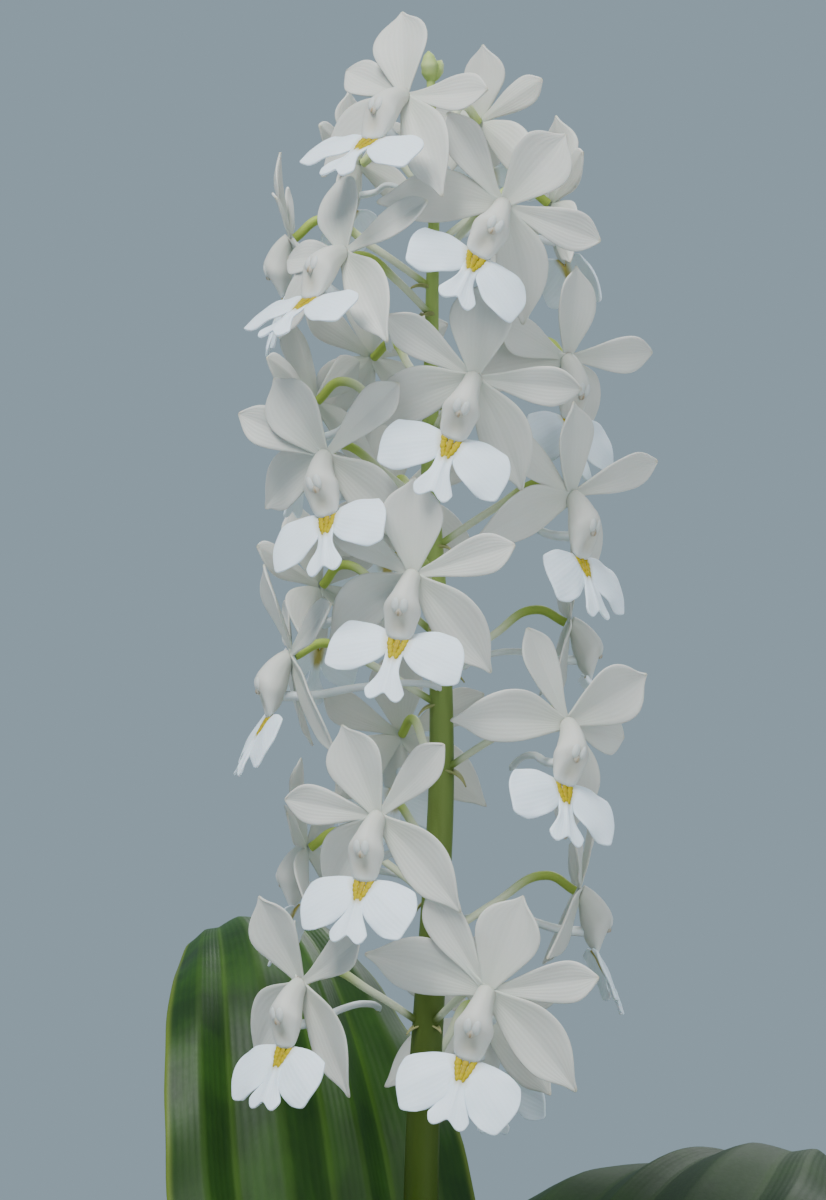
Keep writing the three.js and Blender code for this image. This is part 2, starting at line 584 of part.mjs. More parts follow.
/** The crown: a short swollen stem base with its roots, and sockets for the stalk and leaves. */
function crownSolid() {
  const body = turned(CROWN_OUTLINE, CROWN.x, CROWN.sides);
  const ends = [STALK.bottom - GAP, CROWN.socketTop];
  const outline = ends.map((z) => [z, along(STALK_TAPER, z) + GAP]);
  const socket = turned(outline, CROWN.x, STALK.sides);
  return body.add(wasm.Manifold.union(rootSolids()))
    .subtract(wasm.Manifold.union([socket, ...LEAVES.map((leaf) => leafPeg(leaf, GAP))]));
}

/** The inside radius of the pot at a height. */
const potInside = (z) => mix(POT.footRadius, POT.topRadius - POT.rimStep, z / POT.height) - POT.wall;

/** The pot: a tapered round wall with a plain rim band, and drainage holes round its middle. */
function potSolid() {
  const { height, topRadius, footRadius, floor, rimHeight, rimStep, edge } = POT;
  const outside = (z) => mix(footRadius, topRadius - rimStep, z / height);
  const rimBottom = height - rimHeight;
  const profile = [
    [0, 0],
    [footRadius - edge, 0],
    [outside(edge), edge],
    [outside(rimBottom), rimBottom],
    [topRadius - edge / 2, rimBottom + edge],
    [topRadius, height - edge],
    [topRadius - edge, height],
    [potInside(height) + edge, height],
    [potInside(height - edge), height - edge],
    [potInside(floor), floor],
    [0, floor],
  ].map(([radius, z]) => new THREE.Vector2(radius, z));
  const body = solidFrom(new THREE.LatheGeometry(profile, POT_SIDES).rotateX(Math.PI / 2));
  const drains = Array.from({ length: DRAIN.count }, (_, k) => {
    const middle = outwards(((k + 0.5) / DRAIN.count) * 360).multiplyScalar(DRAIN.circle);
    const drain = new THREE.CylinderGeometry(DRAIN.radius, DRAIN.radius, floor * 2 + 2, DRAIN.sides);
    return solidFrom(drain.rotateX(Math.PI / 2).translate(middle.x, middle.y, floor / 2));
  });
  return body.subtract(wasm.Manifold.union(drains));
}

/** The bark mix that fills the pot, mounded and rough on top, cut out round the crown and roots. */
function soilSolid() {
  const bottom = POT.floor + GAP;
  const edge = potInside(SOIL.top) - GAP;
  const share = (k) => [edge * k, SOIL.top + SOIL.mound * (1 - k * k)];
  const profile = [[0, bottom], [potInside(bottom) - GAP, bottom], ...SOIL.rings.map(share)]
    .map(([radius, z]) => new THREE.Vector2(radius, z));
  const geometry = new THREE.LatheGeometry(profile, POT_SIDES).rotateX(Math.PI / 2);
  const position = geometry.attributes.position;
  const rippleAt = (x, y) => SOIL.ripple * Math.sin(x * 0.31 + 1) * Math.cos(y * 0.37 - x * 0.11);
  for (let k = 0; k < position.count; k++) {
    const z = position.getZ(k);
    if (z > SOIL.top + 0.5) position.setZ(k, z + rippleAt(position.getX(k), position.getY(k)));
  }
  const cut = wasm.Manifold.union([turned(CROWN_OUTLINE, CROWN.x, CROWN.sides, GAP), ...rootSolids(GAP)]);
  return solidFrom(geometry).subtract(cut);
}

const orchid = new THREE.Group();
orchid.add(meshOf(potSolid(), "pot", CLAY));
orchid.add(meshOf(soilSolid(), "soil", BARK));
orchid.add(meshOf(crownSolid(), "crown", CROWN_GREEN));
orchid.add(meshOf(stalkSolid(), "stalk", STALK_GREEN));
LEAVES.forEach((leaf, index) => {
  orchid.add(meshOf(leafSolid(leaf), `leaf_${index + 1}`, LEAF_GREEN));
});
BLOOMS.forEach((bloom, index) => {
  const name = `bloom_${String(index + 1).padStart(2, "0")}`;
  orchid.add(meshOf(bloomSolid(bloom, index), name, BLOOM_WHITE));
});

export default orchid;
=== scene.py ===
"""The looks of a potted calanthe orchid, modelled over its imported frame.

Sizes are in millimetres and azimuths in degrees round the stalk: 0 is the front (-Y), 90 is the
right (+X). A point becomes metres in the moment it is written into a mesh.
"""
import logging
import math
import random
from dataclasses import dataclass, replace
from enum import Enum
from typing import Iterable, Sequence, Union

import bpy
import numpy as np
from mathutils import Matrix, Vector


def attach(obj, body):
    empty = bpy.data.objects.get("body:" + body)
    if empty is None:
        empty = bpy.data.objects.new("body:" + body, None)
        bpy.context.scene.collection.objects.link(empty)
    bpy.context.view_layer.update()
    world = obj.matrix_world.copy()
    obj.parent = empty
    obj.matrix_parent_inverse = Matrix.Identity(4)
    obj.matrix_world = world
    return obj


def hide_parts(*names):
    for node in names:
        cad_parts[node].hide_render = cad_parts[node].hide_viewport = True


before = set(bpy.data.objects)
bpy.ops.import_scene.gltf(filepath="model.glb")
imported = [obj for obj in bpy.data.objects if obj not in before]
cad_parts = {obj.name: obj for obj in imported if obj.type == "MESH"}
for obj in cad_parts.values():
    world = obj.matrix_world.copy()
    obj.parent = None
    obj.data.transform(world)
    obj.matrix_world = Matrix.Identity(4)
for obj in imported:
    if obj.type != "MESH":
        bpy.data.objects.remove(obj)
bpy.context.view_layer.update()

MM = 0.001
LOG = logging.getLogger("orchid")
Pairs = Sequence[tuple[float, float]]
Triple = tuple[float, float, float]
Numbers = Union[float, np.ndarray]

PAINT = "paint"
UP = np.array([0.0, 0.0, 1.0])
SCATTER = (12.9898, 78.233, 43758.5453)
CROWN_X = -3.0


def smooth(pairs: Pairs, at: Numbers) -> np.ndarray:
    """Values on one smooth curve through pairs of place and value.

    Args:
        pairs: places in rising order, each with its value.
        at: the places to read.
    Returns:
        The value at each place.
    """
    x, y = np.array(pairs, float).T
    slope = np.gradient(y, x)
    at = np.clip(np.asarray(at, float), x[0], x[-1])
    k = np.clip(np.searchsorted(x, at, side="right") - 1, 0, len(x) - 2)
    step = x[k + 1] - x[k]
    t = (at - x[k]) / step
    low = (2 * t**3 - 3 * t**2 + 1) * y[k] + (t**3 - 2 * t**2 + t) * step * slope[k]
    high = (3 * t**2 - 2 * t**3) * y[k + 1] + (t**3 - t**2) * step * slope[k + 1]
    return low + high


def along(pairs: Pairs, place: Numbers) -> np.ndarray:
    """The value at a place, on straight lines between pairs of place and value."""
    return np.interp(place, *np.array(pairs, float).T)


def rise(low: float, high: float, at: Numbers) -> np.ndarray:
    """A soft step from 0 at low to 1 at high."""
    t = np.clip((np.asarray(at, float) - low) / (high - low), 0, 1)
    return t * t * (3 - 2 * t)


def hump(middle: float, width: float, at: Numbers) -> np.ndarray:
    """A round hump of height 1 at its middle."""
    return np.exp(-(((at - middle) / width) ** 2))


def outwards(degrees: Numbers) -> np.ndarray:
    """The level direction, or directions, at an azimuth."""
    turn = np.radians(degrees)
    return np.stack([np.sin(turn), -np.cos(turn), np.zeros_like(turn)], axis=-1)


def leaning(azimuth: Numbers, degrees: Numbers) -> np.ndarray:
    """The direction at an azimuth that leans out from upright by some degrees."""
    lean = np.radians(degrees)[..., None]
    return outwards(azimuth) * np.sin(lean) + UP * np.cos(lean)


class Draw(Enum):
    """Where the numbers of each use of vary begin, so that no two uses share a draw."""

    TEPAL = 1
    SPUR = 30
    BRACT = 50
    TEPAL_WAVE = 60
    LOBE_WAVE = 70
    WART = 80


def vary(index: int, use: Draw, step: int = 0) -> float:
    """A draw from -1 to 1 that is the same in every run.

    Args:
        index: the number of the bloom.
        use: what the draw is for.
        step: the number of the draw within that use.
    Returns:
        The draw.
    """
    per_index, per_use, spread = SCATTER
    wave = math.sin(index * per_index + (use.value + step) * per_use) * spread
    return (wave - math.floor(wave)) * 2 - 1


def rounded(corners: Sequence[Triple], steps: int = 5) -> list[tuple[float, float]]:
    """Rounds the corners of an outline.

    Args:
        corners: each corner's two coordinates and its radius of rounding.
        steps: how many points an arc gets.
    Returns:
        The points of the rounded outline.
    """
    most = 0.45
    points = [np.array(corner[:2]) for corner in corners]
    made = [tuple(points[0])]
    for before, at, after, (_, _, radius) in zip(points, points[1:], points[2:], corners[1:]):
        behind, ahead = np.linalg.norm(before - at), np.linalg.norm(after - at)
        reach = min(radius, most * behind, most * ahead)
        back, on = (before - at) / behind, (after - at) / ahead
        for k in range(steps + 1):
            t = k / steps
            made.append(tuple(at + back * reach * (1 - t) ** 2 + on * reach * t**2))
    made.append(tuple(points[-1]))
    return made


@dataclass
class Stem:
    """A line of points with the radius of a round stem at each of them."""

    points: Sequence[Sequence[float]]
    radii: Sequence[float]
    steps: int = 8


class Bench:
    """The modelling steps that the pieces share."""

    @staticmethod
    def pick(*objects: bpy.types.Object) -> None:
        """Selects some objects alone and makes the first one active.

        Args:
            objects: the objects; with none, nothing is left selected.
        """
        for chosen in list(bpy.context.selected_objects):
            chosen.select_set(False)
        for chosen in objects:
            chosen.select_set(True)
        if objects:
            bpy.context.view_layer.objects.active = objects[0]

    @staticmethod
    def add(name: str, data: bpy.types.ID) -> bpy.types.Object:
        """Puts a new object in the scene.

        Args:
            name: its name.
            data: its mesh or curve.
        Returns:
            The object.
        """
        made = bpy.data.objects.new(name, data)
        bpy.context.scene.collection.objects.link(made)
        return made

    @classmethod
    def copy(cls, model: bpy.types.Object, name: str) -> bpy.types.Object:
        """A copy of a model with a mesh of its own."""
        return cls.add(name, model.data.copy())

    @classmethod
    def grid(cls, name: str, columns: int, rows: int) -> bpy.types.Object:
        """A flat sheet of faces from -1 to 1 both ways, with its own map.

        Args:
            name: its name.
            columns: how many faces it has across.
            rows: how many faces it has along.
        Returns:
            The sheet.
        """
        cls.pick()
        bpy.ops.mesh.primitive_grid_add(x_subdivisions=columns, y_subdivisions=rows, size=2)
        sheet = bpy.context.object
        sheet.name = name
        return sheet

    @staticmethod
    def points(piece: bpy.types.Object) -> np.ndarray:
        """The points of a mesh.

        Args:
            piece: the mesh object.
        Returns:
            One row for each point, in metres.
        """
        co = np.zeros(len(piece.data.vertices) * 3, np.float32)
        piece.data.vertices.foreach_get("co", co)
        return co.reshape(-1, 3).astype(float)

    @classmethod
    def sheet_places(cls, sheet: bpy.types.Object) -> tuple[np.ndarray, np.ndarray]:
        """Where the points of a flat sheet lie: -1 to 1 across it, and 0 to 1 along it."""
        flat = cls.points(sheet)
        return flat[:, 0], (flat[:, 1] + 1) / 2

    @staticmethod
    def shape(piece: bpy.types.Object, points: np.ndarray) -> None:
        """Moves the points of a mesh to new places, given in millimetres."""
        piece.data.vertices.foreach_set("co", (points * MM).astype(np.float32).ravel())
        piece.data.update()

    @staticmethod
    def paint(piece: bpy.types.Object, red: Numbers = 0.0, green: Numbers = 0.0,
              blue: Numbers = 0.0) -> None:
        """Keeps three masks, which the finishes read as the channels of one colour.

        Args:
            piece: the mesh object.
            red: the first mask, one number for all points or one for each.
            green: the second mask.
            blue: the third mask.
        """
        masks = np.ones((len(piece.data.vertices), 4), np.float32)
        for channel, mask in enumerate((red, green, blue)):
            masks[:, channel] = mask
        layer = piece.data.color_attributes.new(PAINT, "FLOAT_COLOR", "POINT")
        layer.data.foreach_set("color", masks.ravel())

    @classmethod
    def fix(cls, piece: bpy.types.Object, kind: str, **settings: object) -> None:
        """Adds one modifier and applies it.

        Args:
            piece: the object that it works on.
            kind: the type of the modifier.
            settings: its settings by name.
        """
        cls.pick(piece)
        modifier = piece.modifiers.new(kind.title(), kind)
        for key, value in settings.items():
            setattr(modifier, key, value)
        bpy.ops.object.modifier_apply(modifier=modifier.name)

    @classmethod
    def join(cls, pieces: Sequence[bpy.types.Object], name: str) -> bpy.types.Object:
        """Joins pieces into one object.

        Args:
            pieces: the objects; the first one takes in the others.
            name: the new name.
        Returns:
            The joined object.
        """
        cls.pick(*pieces)
        if len(pieces) > 1:
            bpy.ops.object.join()
        pieces[0].name = pieces[0].data.name = name
        return pieces[0]

    @classmethod
    def merge(cls, piece: bpy.types.Object, distance: float = 0.01) -> None:
        """Closes seams and poles and turns all faces outwards.

        Args:
            piece: the mesh object.
            distance: how near two points are that become one.
        """
        cls.pick(piece)
        bpy.ops.object.mode_set(mode="EDIT")
        bpy.ops.mesh.select_all(action="SELECT")
        bpy.ops.mesh.remove_doubles(threshold=distance * MM)
        bpy.ops.mesh.normals_make_consistent(inside=False)
        bpy.ops.object.mode_set(mode="OBJECT")

    @classmethod
    def stems(cls, name: str, lines: Iterable[Stem], sides: int = 3) -> bpy.types.Object:
        """Round stems along smooth lines, as one mesh.

        Args:
            name: the name of the mesh.
            lines: the stems.
            sides: how finely each is rounded; 3 gives ten sides.
        Returns:
            The mesh object.
        """
        curve = bpy.data.curves.new(name, "CURVE")
        curve.dimensions = "3D"
        curve.bevel_depth = MM
        curve.bevel_resolution = sides
        curve.use_fill_caps = True
        for line in lines:
            spline = curve.splines.new("BEZIER")
            spline.bezier_points.add(len(line.points) - 1)
            spline.resolution_u = line.steps
            for knot, place, radius in zip(spline.bezier_points, line.points, line.radii):
                knot.co = np.asarray(place) * MM
                knot.radius = radius
                knot.handle_left_type = knot.handle_right_type = "AUTO"
        cls.pick(cls.add(name, curve))
        bpy.ops.object.convert(target="MESH")
        return bpy.context.object

    @classmethod
    def turned(cls, name: str, outline: Pairs, sides: int, x: float = 0.0) -> bpy.types.Object:
        """A solid of revolution about an upright axis.

        Args:
            name: its name.
            outline: its radius and height at each corner.
            sides: how many steps the turn has.
            x: the place of the axis.
        Returns:
            The closed mesh.
        """
        mesh = bpy.data.meshes.new(name)
        points = [((x + radius) * MM, 0.0, z * MM) for radius, z in outline]
        mesh.from_pydata(points, [(k, k + 1) for k in range(len(points) - 1)], [])
        made = cls.add(name, mesh)
        cls.pick(made)
        bpy.ops.object.mode_set(mode="EDIT")
        bpy.ops.mesh.select_all(action="SELECT")
        bpy.ops.mesh.spin(steps=sides, angle=2 * math.pi, center=(x * MM, 0, 0), axis=(0, 0, 1))
        bpy.ops.object.mode_set(mode="OBJECT")
        cls.merge(made)
        return made

    @classmethod
    def smooth_faces(cls, piece: bpy.types.Object, degrees: float = 180) -> None:
        """Shades a mesh smooth.

        Args:
            piece: the mesh object.
            degrees: the angle between two faces past which their edge stays sharp.
        """
        cls.pick(piece)
        if degrees >= 180:
            bpy.ops.object.shade_smooth()
        else:
            bpy.ops.object.shade_smooth_by_angle(angle=math.radians(degrees))


class Wire:
    """The output of a node, which takes part in sums as a number does."""

    def __init__(self, tree: "ShaderTree", socket: bpy.types.NodeSocket) -> None:
        """Keeps the node tree and the socket that the value comes from."""
        self.tree = tree
        self.socket = socket

    def math(self, operation: str, *others: "Value") -> "Wire":
        """A Math node on this value and others."""
        return self.tree.node("ShaderNodeMath", {"operation": operation}, [self, *others])

    def __add__(self, other: "Value") -> "Wire":
        """Sum."""
        return self.math("ADD", other)

    def __radd__(self, other: "Value") -> "Wire":
        """Sum, with the number first."""
        return self.math("ADD", other)

    def __sub__(self, other: "Value") -> "Wire":
        """Difference."""
        return self.math("SUBTRACT", other)

    def __rsub__(self, other: float) -> "Wire":
        """Difference, with the number first."""
        return self.tree.node("ShaderNodeMath", {"operation": "SUBTRACT"}, [other, self])

    def __mul__(self, other: "Value") -> "Wire":
        """Product."""
        return self.math("MULTIPLY", other)

    def __rmul__(self, other: "Value") -> "Wire":
        """Product, with the number first."""
        return self.math("MULTIPLY", other)

    def __pow__(self, other: "Value") -> "Wire":
        """Power."""
        return self.math("POWER", other)

    def waves(self, count: float) -> "Wire":
        """Even waves from 0 to 1, so many where this value goes from 0 to 1."""
        return (self * (count * 2 * math.pi)).math("COSINE") * 0.5 + 0.5

    def step(self, low: float, high: float) -> "Wire":
        """A soft step from 0 at low to 1 at high."""
        values = {"Value": self, "From Min": low, "From Max": high}
        return self.tree.node("ShaderNodeMapRange", {"interpolation_type": "SMOOTHSTEP"}, values)


Value = Union[Wire, float]
Colour = Triple


class Channel(Enum):
    """The three masks of a piece's paint, by the names of a colour's sockets."""

    RED = "Red"
    GREEN = "Green"
    BLUE = "Blue"


class ShaderTree:
    """The nodes of one material, added one call at a time."""

    MIX_FACTOR, MIX_A, MIX_B, MIX_RESULT = 0, 6, 7, 2
    MAP = "UVMap"

    def __init__(self, name: str) -> None:
        """Starts a material that holds only its shader.

        Args:
            name: the name of the material.
        """
        self.material = bpy.data.materials.new(name)
        self.material.use_nodes = True
        self.nodes = self.material.node_tree.nodes
        self.links = self.material.node_tree.links
        self.shader = self.nodes["Principled BSDF"]

    def node(self, kind: str, settings: dict[str, object], values: Union[dict, Sequence],
             output: Union[int, str] = 0) -> Wire:
        """Adds a node.

        Args:
            kind: the type of the node.
            settings: its own settings by name.
            values: numbers, colours or wires for its sockets, by name or in order.
            output: the socket to hand on.
        Returns:
            That socket's wire.
        """
        made = self.nodes.new(kind)
        for key, value in settings.items():
            setattr(made, key, value)
        for key, value in values.items() if isinstance(values, dict) else enumerate(values):
            self.feed(made.inputs[key], value)
        return Wire(self, made.outputs[output])

    def feed(self, socket: bpy.types.NodeSocket, value: Union[Wire, float, Triple]) -> None:
        """Links a wire to a socket, or sets the socket's own value.

        Args:
            socket: the socket of a node or of the shader.
            value: a wire, or a number, place or colour that is the same all over.
        """
        if isinstance(value, Wire):
            self.links.new(value.socket, socket)
        elif isinstance(value, tuple) and len(value) < len(getattr(socket, "default_value", value)):
            socket.default_value = (*value, 1.0)
        else:
            socket.default_value = value

    def mix(self, factor: Value, low: Union[Wire, Colour], high: Union[Wire, Colour]) -> Wire:
        """A colour between two colours."""
        values = {self.MIX_FACTOR: factor, self.MIX_A: low, self.MIX_B: high}
        return self.node("ShaderNodeMix", {"data_type": "RGBA"}, values, self.MIX_RESULT)

    def place(self) -> Wire:
        """The place in the object's own frame, in metres."""
        return self.node("ShaderNodeTexCoord", {}, {}, "Object")

    def part(self, place: Wire, axis: str) -> Wire:
        """The X, Y or Z of a place."""
        return self.node("ShaderNodeSeparateXYZ", {}, [place], axis)

    def noise(self, scale: float, detail: float, squash: Triple = (1.0, 1.0, 1.0)) -> Wire:
        """Even noise from 0 to 1, with so many waves a metre, stretched along any axis."""
        moved = self.node("ShaderNodeMapping", {}, {"Vector": self.place(), "Scale": squash})
        return self.node("ShaderNodeTexNoise", {}, {"Vector": moved, "Scale": scale, "Detail": detail})

    def mask(self, channel: Channel) -> Wire:
        """One mask of the piece's paint."""
        colour = self.node("ShaderNodeAttribute", {"attribute_name": PAINT}, {}, "Color")
        return self.node("ShaderNodeSeparateColor", {}, [colour], channel.value)

    def map(self, axis: str) -> Wire:
        """The X or Y of the piece's own map: across it or along it."""
        return self.part(self.node("ShaderNodeUVMap", {"uv_map": self.MAP}, {}), axis)

    def relief(self, height: Wire, depth: float, strength: float) -> Wire:
        """Bumps of a depth in millimetres where height goes from 0 to 1."""
        values = {"Strength": strength, "Distance": depth * MM, "Height": height}
        return self.node("ShaderNodeBump", {}, values, "Normal")

    def finish(self, colour: Wire, roughness: Value, normal: Wire, **constants: float) -> bpy.types.Material:
        """Feeds the shader and sets what is the same all over.

        Args:
            colour: the base colour.
            roughness: the roughness.
            normal: the bumps.
            constants: values for other sockets, with a line in place of each space of their names.
        Returns:
            The finished material.
        """
        for name, value in {"Base Color": colour, "Roughness": roughness, "Normal": normal}.items():
            self.feed(self.shader.inputs[name], value)
        for name, value in constants.items():
            self.shader.inputs[name.replace("_", " ")].default_value = value
        return self.material


@dataclass(frozen=True)
class PetalFinish:
    """White, softly veined petals, the lip with a painted blue cast; paint masks callus, sepals and anther.
    """

    # lip: white with a painted blue cast, a painted reflection of the blue light around it
    lip: Colour = (0.76, 0.86, 0.94)
    # sepal: cream, greyed with painted shade below the lip's white
    sepal: Colour = (0.60, 0.605, 0.56)
    shade: Colour = (0.42, 0.47, 0.36)
    yellow: Colour = (0.41, 0.315, 0.0)
    brown: Colour = (0.26, 0.15, 0.035)
    tip: Colour = (0.40, 0.36, 0.17)
    veins: int = 11
    root_tint: float = 0.35
    tip_tint: float = 0.4
    vein_tint: float = 0.05
    cloud_tint: float = 0.06

    def build(self) -> bpy.types.Material:
        """Makes the material.

        Returns:
            The material.
        """
        tree = ShaderTree("petal_white")
        length = tree.map("Y")
        # the mask of the sepal colour: cream with painted shade
        cream_and_shade = tree.mask(Channel.GREEN)
        vein = tree.map("X").waves(self.veins)
        cells = tree.noise(1400, 1.0)
        cloud = tree.noise(160, 3.0)
        base = tree.mix(cream_and_shade, self.lip, self.sepal)
        base = tree.mix((1 - length.step(0.0, 0.5)) * cream_and_shade * self.root_tint, base, self.shade)
        base = tree.mix(length.step(0.9, 1.0) * cream_and_shade * self.tip_tint, base, self.tip)
        tint = (vein ** 4) * self.vein_tint + cloud.step(0.35, 0.75) * self.cloud_tint
        base = tree.mix(tint, base, self.shade)
        base = tree.mix(tree.mask(Channel.RED), base, self.yellow)
        base = tree.mix(tree.mask(Channel.BLUE), base, self.brown)
        bumps = tree.relief(vein * 0.6 + cells * 0.4, depth=0.1, strength=0.3)
        return tree.finish(base, 0.42 + 0.12 * cloud, bumps, Subsurface_Weight=0.08,
                           Subsurface_Scale=0.0015, Specular_IOR_Level=0.15)


@dataclass(frozen=True)
class LeafFinish:
    """Deep green pleated leaves with light ribs; paint masks the pale foot and the leaves' painted shade."""

    deep: Colour = (0.006, 0.028, 0.001)
    green: Colour = (0.020, 0.072, 0.003)
    rib: Colour = (0.072, 0.155, 0.008)
    tip: Colour = (0.17, 0.23, 0.03)
    foot: Colour = (0.20, 0.27, 0.075)
    pleats: int = 4
    veins: int = 44
    sharpness: float = 30.0
    cloud_tint: float = 0.55
    band_tint: float = 0.45
    vein_tint: float = 0.07
    rib_tint: tuple[float, float] = (0.1, 0.45)
    edge_tint: float = 0.6
    tip_tint: float = 0.7
    # how far painted shade darkens a leaf toward the deep green
    shade_tint: float = 0.7
    foot_tint: float = 0.85

    def build(self) -> bpy.types.Material:
        """Makes the material.

        Returns:
            The material.
        """
        tree = ShaderTree("leaf_green")
        width = tree.map("X")
        length = tree.map("Y")
        fold = width.waves(self.pleats)
        ridge = (fold ** self.sharpness) + ((1 - fold) ** self.sharpness) * 0.5
        vein = width.waves(self.veins)
        cloud = tree.noise(38, 4.0)
        band = tree.noise(120, 3.0, (1.0, 1.0, 0.12))
        grain = tree.noise(900, 2.0)
        # the mask of painted shade: darkens the leaves that stand in shade, and makes them rougher
        shade_mask = tree.mask(Channel.GREEN)
        mottle = cloud.step(0.35, 0.7) * self.cloud_tint + band.step(0.4, 0.7) * self.band_tint
        base = tree.mix(mottle, self.deep, self.green)
        base = tree.mix((vein ** 3) * self.vein_tint * band, base, self.rib)
        base = tree.mix(ridge * (self.rib_tint[0] + self.rib_tint[1] * cloud), base, self.rib)
        edge = (width * 2 - 1).math("ABSOLUTE").step(0.95, 1.0)
        pale = edge * self.edge_tint + length.step(0.97, 1.0) * self.tip_tint
        base = tree.mix(pale, base, self.tip)
        base = tree.mix(shade_mask * self.shade_tint, base, self.deep)
        base = tree.mix(tree.mask(Channel.RED) * self.foot_tint, base, self.foot)
        height = vein * 0.16 + ridge * 0.4 + band * 0.3 + grain * 0.14
        rough = 0.39 + 0.16 * cloud + 0.08 * grain + 0.12 * shade_mask
        bumps = tree.relief(height, depth=0.35, strength=0.5)
        return tree.finish(base, rough, bumps, Specular_IOR_Level=0.27)


@dataclass(frozen=True)
class StemFinish:
    """Green stems; paint masks how near a bloom a pedicel is, the height and the bracts."""

    low: Colour = (0.034, 0.066, 0.001)
    high: Colour = (0.36, 0.48, 0.13)
    pale: Colour = (0.66, 0.70, 0.50)
    lime: Colour = (0.35, 0.46, 0.08)
    bract: Colour = (0.42, 0.40, 0.18)
    leaves_stalk: tuple[float, float] = (0.0, 0.14)
    nears_bloom: tuple[float, float] = (0.42, 0.9)
    streak_tint: float = 0.35

    def build(self) -> bpy.types.Material:
        """Makes the material.

        Returns:
            The material.
        """
        tree = ShaderTree("stalk_green")
        near = tree.mask(Channel.RED)
        pedicel = near.step(*self.leaves_stalk)
        streak = tree.noise(260, 3.0, (1.0, 1.0, 0.12))
        hair = tree.noise(2200, 1.0)
        base = tree.mix(tree.mask(Channel.GREEN), self.low, self.high)
        base = tree.mix(pedicel, base, self.pale)
        base = tree.mix(near.step(*self.nears_bloom), base, self.lime)
        base = tree.mix(tree.mask(Channel.BLUE), base, self.bract)
        base = tree.mix(streak.step(0.45, 0.75) * (1 - pedicel) * self.streak_tint, base, self.low)
        bumps = tree.relief(streak * 0.6 + hair * 0.4, depth=0.25, strength=0.5)
        return tree.finish(base, 0.46 + 0.15 * streak, bumps, Subsurface_Weight=0.05,
                           Subsurface_Scale=0.001, Specular_IOR_Level=0.2)


@dataclass(frozen=True)
class CrownFinish:
    """The crown's pale green; paint masks the brown of roots and of the papery sheaths' ends."""

    green: Colour = (0.30, 0.38, 0.13)
    pale: Colour = (0.52, 0.53, 0.30)
    paper: Colour = (0.33, 0.22, 0.11)
    paper_tint: tuple[float, float] = (0.4, 0.6)

    def build(self) -> bpy.types.Material:
        """Makes the material.

        Returns:
            The material.
        """
        tree = ShaderTree("crown_green")
        streak = tree.noise(190, 4.0, (1.0, 1.0, 0.15))
        base = tree.mix(streak.step(0.35, 0.7), self.green, self.pale)
        dry = self.paper_tint[0] + self.paper_tint[1] * streak
        base = tree.mix(tree.mask(Channel.RED) * dry, base, self.paper)
        return tree.finish(base, 0.5 + 0.2 * streak, tree.relief(streak, depth=0.6, strength=0.7))


@dataclass(frozen=True)
class BarkFinish:
    """Damp bark chips, each with a tone of its own in its paint."""

    dark: Colour = (0.035, 0.02, 0.012)
    brown: Colour = (0.13, 0.065, 0.032)
    light: Colour = (0.30, 0.19, 0.11)
    tone_tint: float = 0.8
    fibre_tint: float = 0.3

    def build(self) -> bpy.types.Material:
        """Makes the material.

        Returns:
            The material.
        """
        tree = ShaderTree("bark_mix")
        tone = tree.mask(Channel.RED)
        fibre = tree.noise(420, 5.0, (1.0, 0.35, 1.0))
        speck = tree.noise(1500, 2.0)
        base = tree.mix(tone * self.tone_tint + fibre * self.fibre_tint, self.dark, self.brown)
        base = tree.mix(fibre.step(0.52, 0.8) * tone, base, self.light)
        bumps = tree.relief(fibre * 0.8 + speck * 0.2, depth=0.8, strength=0.9)
        return tree.finish(base, 0.75 + 0.2 * speck, bumps)


@dataclass(frozen=True)
class ClayFinish:
    """Unglazed clay: mottled, with fine turning lines and pale bloom from watering.

    The two bands of pale bloom run between heights in metres, at the rim and at the foot.
    """

    clay: Colour = (0.44, 0.165, 0.085)
    dark: Colour = (0.29, 0.10, 0.05)
    light: Colour = (0.56, 0.27, 0.16)
    salt: Colour = (0.66, 0.58, 0.50)
    rim_band: tuple[float, float] = (0.095, 0.13)
    foot_band: tuple[float, float] = (0.0, 0.035)
    rim_salt: float = 0.55
    foot_salt: float = 0.8
    grain_tint: float = 0.45
    line_tint: float = 0.18

    def build(self) -> bpy.types.Material:
        """Makes the material.

        Returns:
            The material.
        """
        tree = ShaderTree("clay")
        cloud = tree.noise(16, 4.0)
        patch = tree.noise(42, 5.0)
        grain = tree.noise(1300, 3.0)
        lines = tree.noise(420, 2.0, (0.02, 0.02, 1.0))
        height = tree.part(tree.place(), "Z")
        base = tree.mix(cloud.step(0.3, 0.75), self.dark, self.clay)
        base = tree.mix(grain.step(0.45, 0.75) * self.grain_tint, base, self.light)
        at_rim = height.step(*self.rim_band) * self.rim_salt
        at_foot = (1 - height.step(*self.foot_band)) * self.foot_salt
        base = tree.mix(patch.step(0.48, 0.72) * (at_rim + at_foot), base, self.salt)
        base = tree.mix(lines.step(0.5, 0.8) * self.line_tint, base, self.dark)
        bumps = tree.relief(lines * 0.5 + grain * 0.3 + patch * 0.2, depth=0.5, strength=0.7)
        return tree.finish(base, 0.78 + 0.15 * grain, bumps)


class Slot(Enum):
    """The material slots that the record names."""

    CLAY = "clay"
    BARK = "bark"
    CROWN = "crown_green"
    STALK = "stalk_green"
    LEAF = "leaf_green"
    BLOOM = "bloom_white"


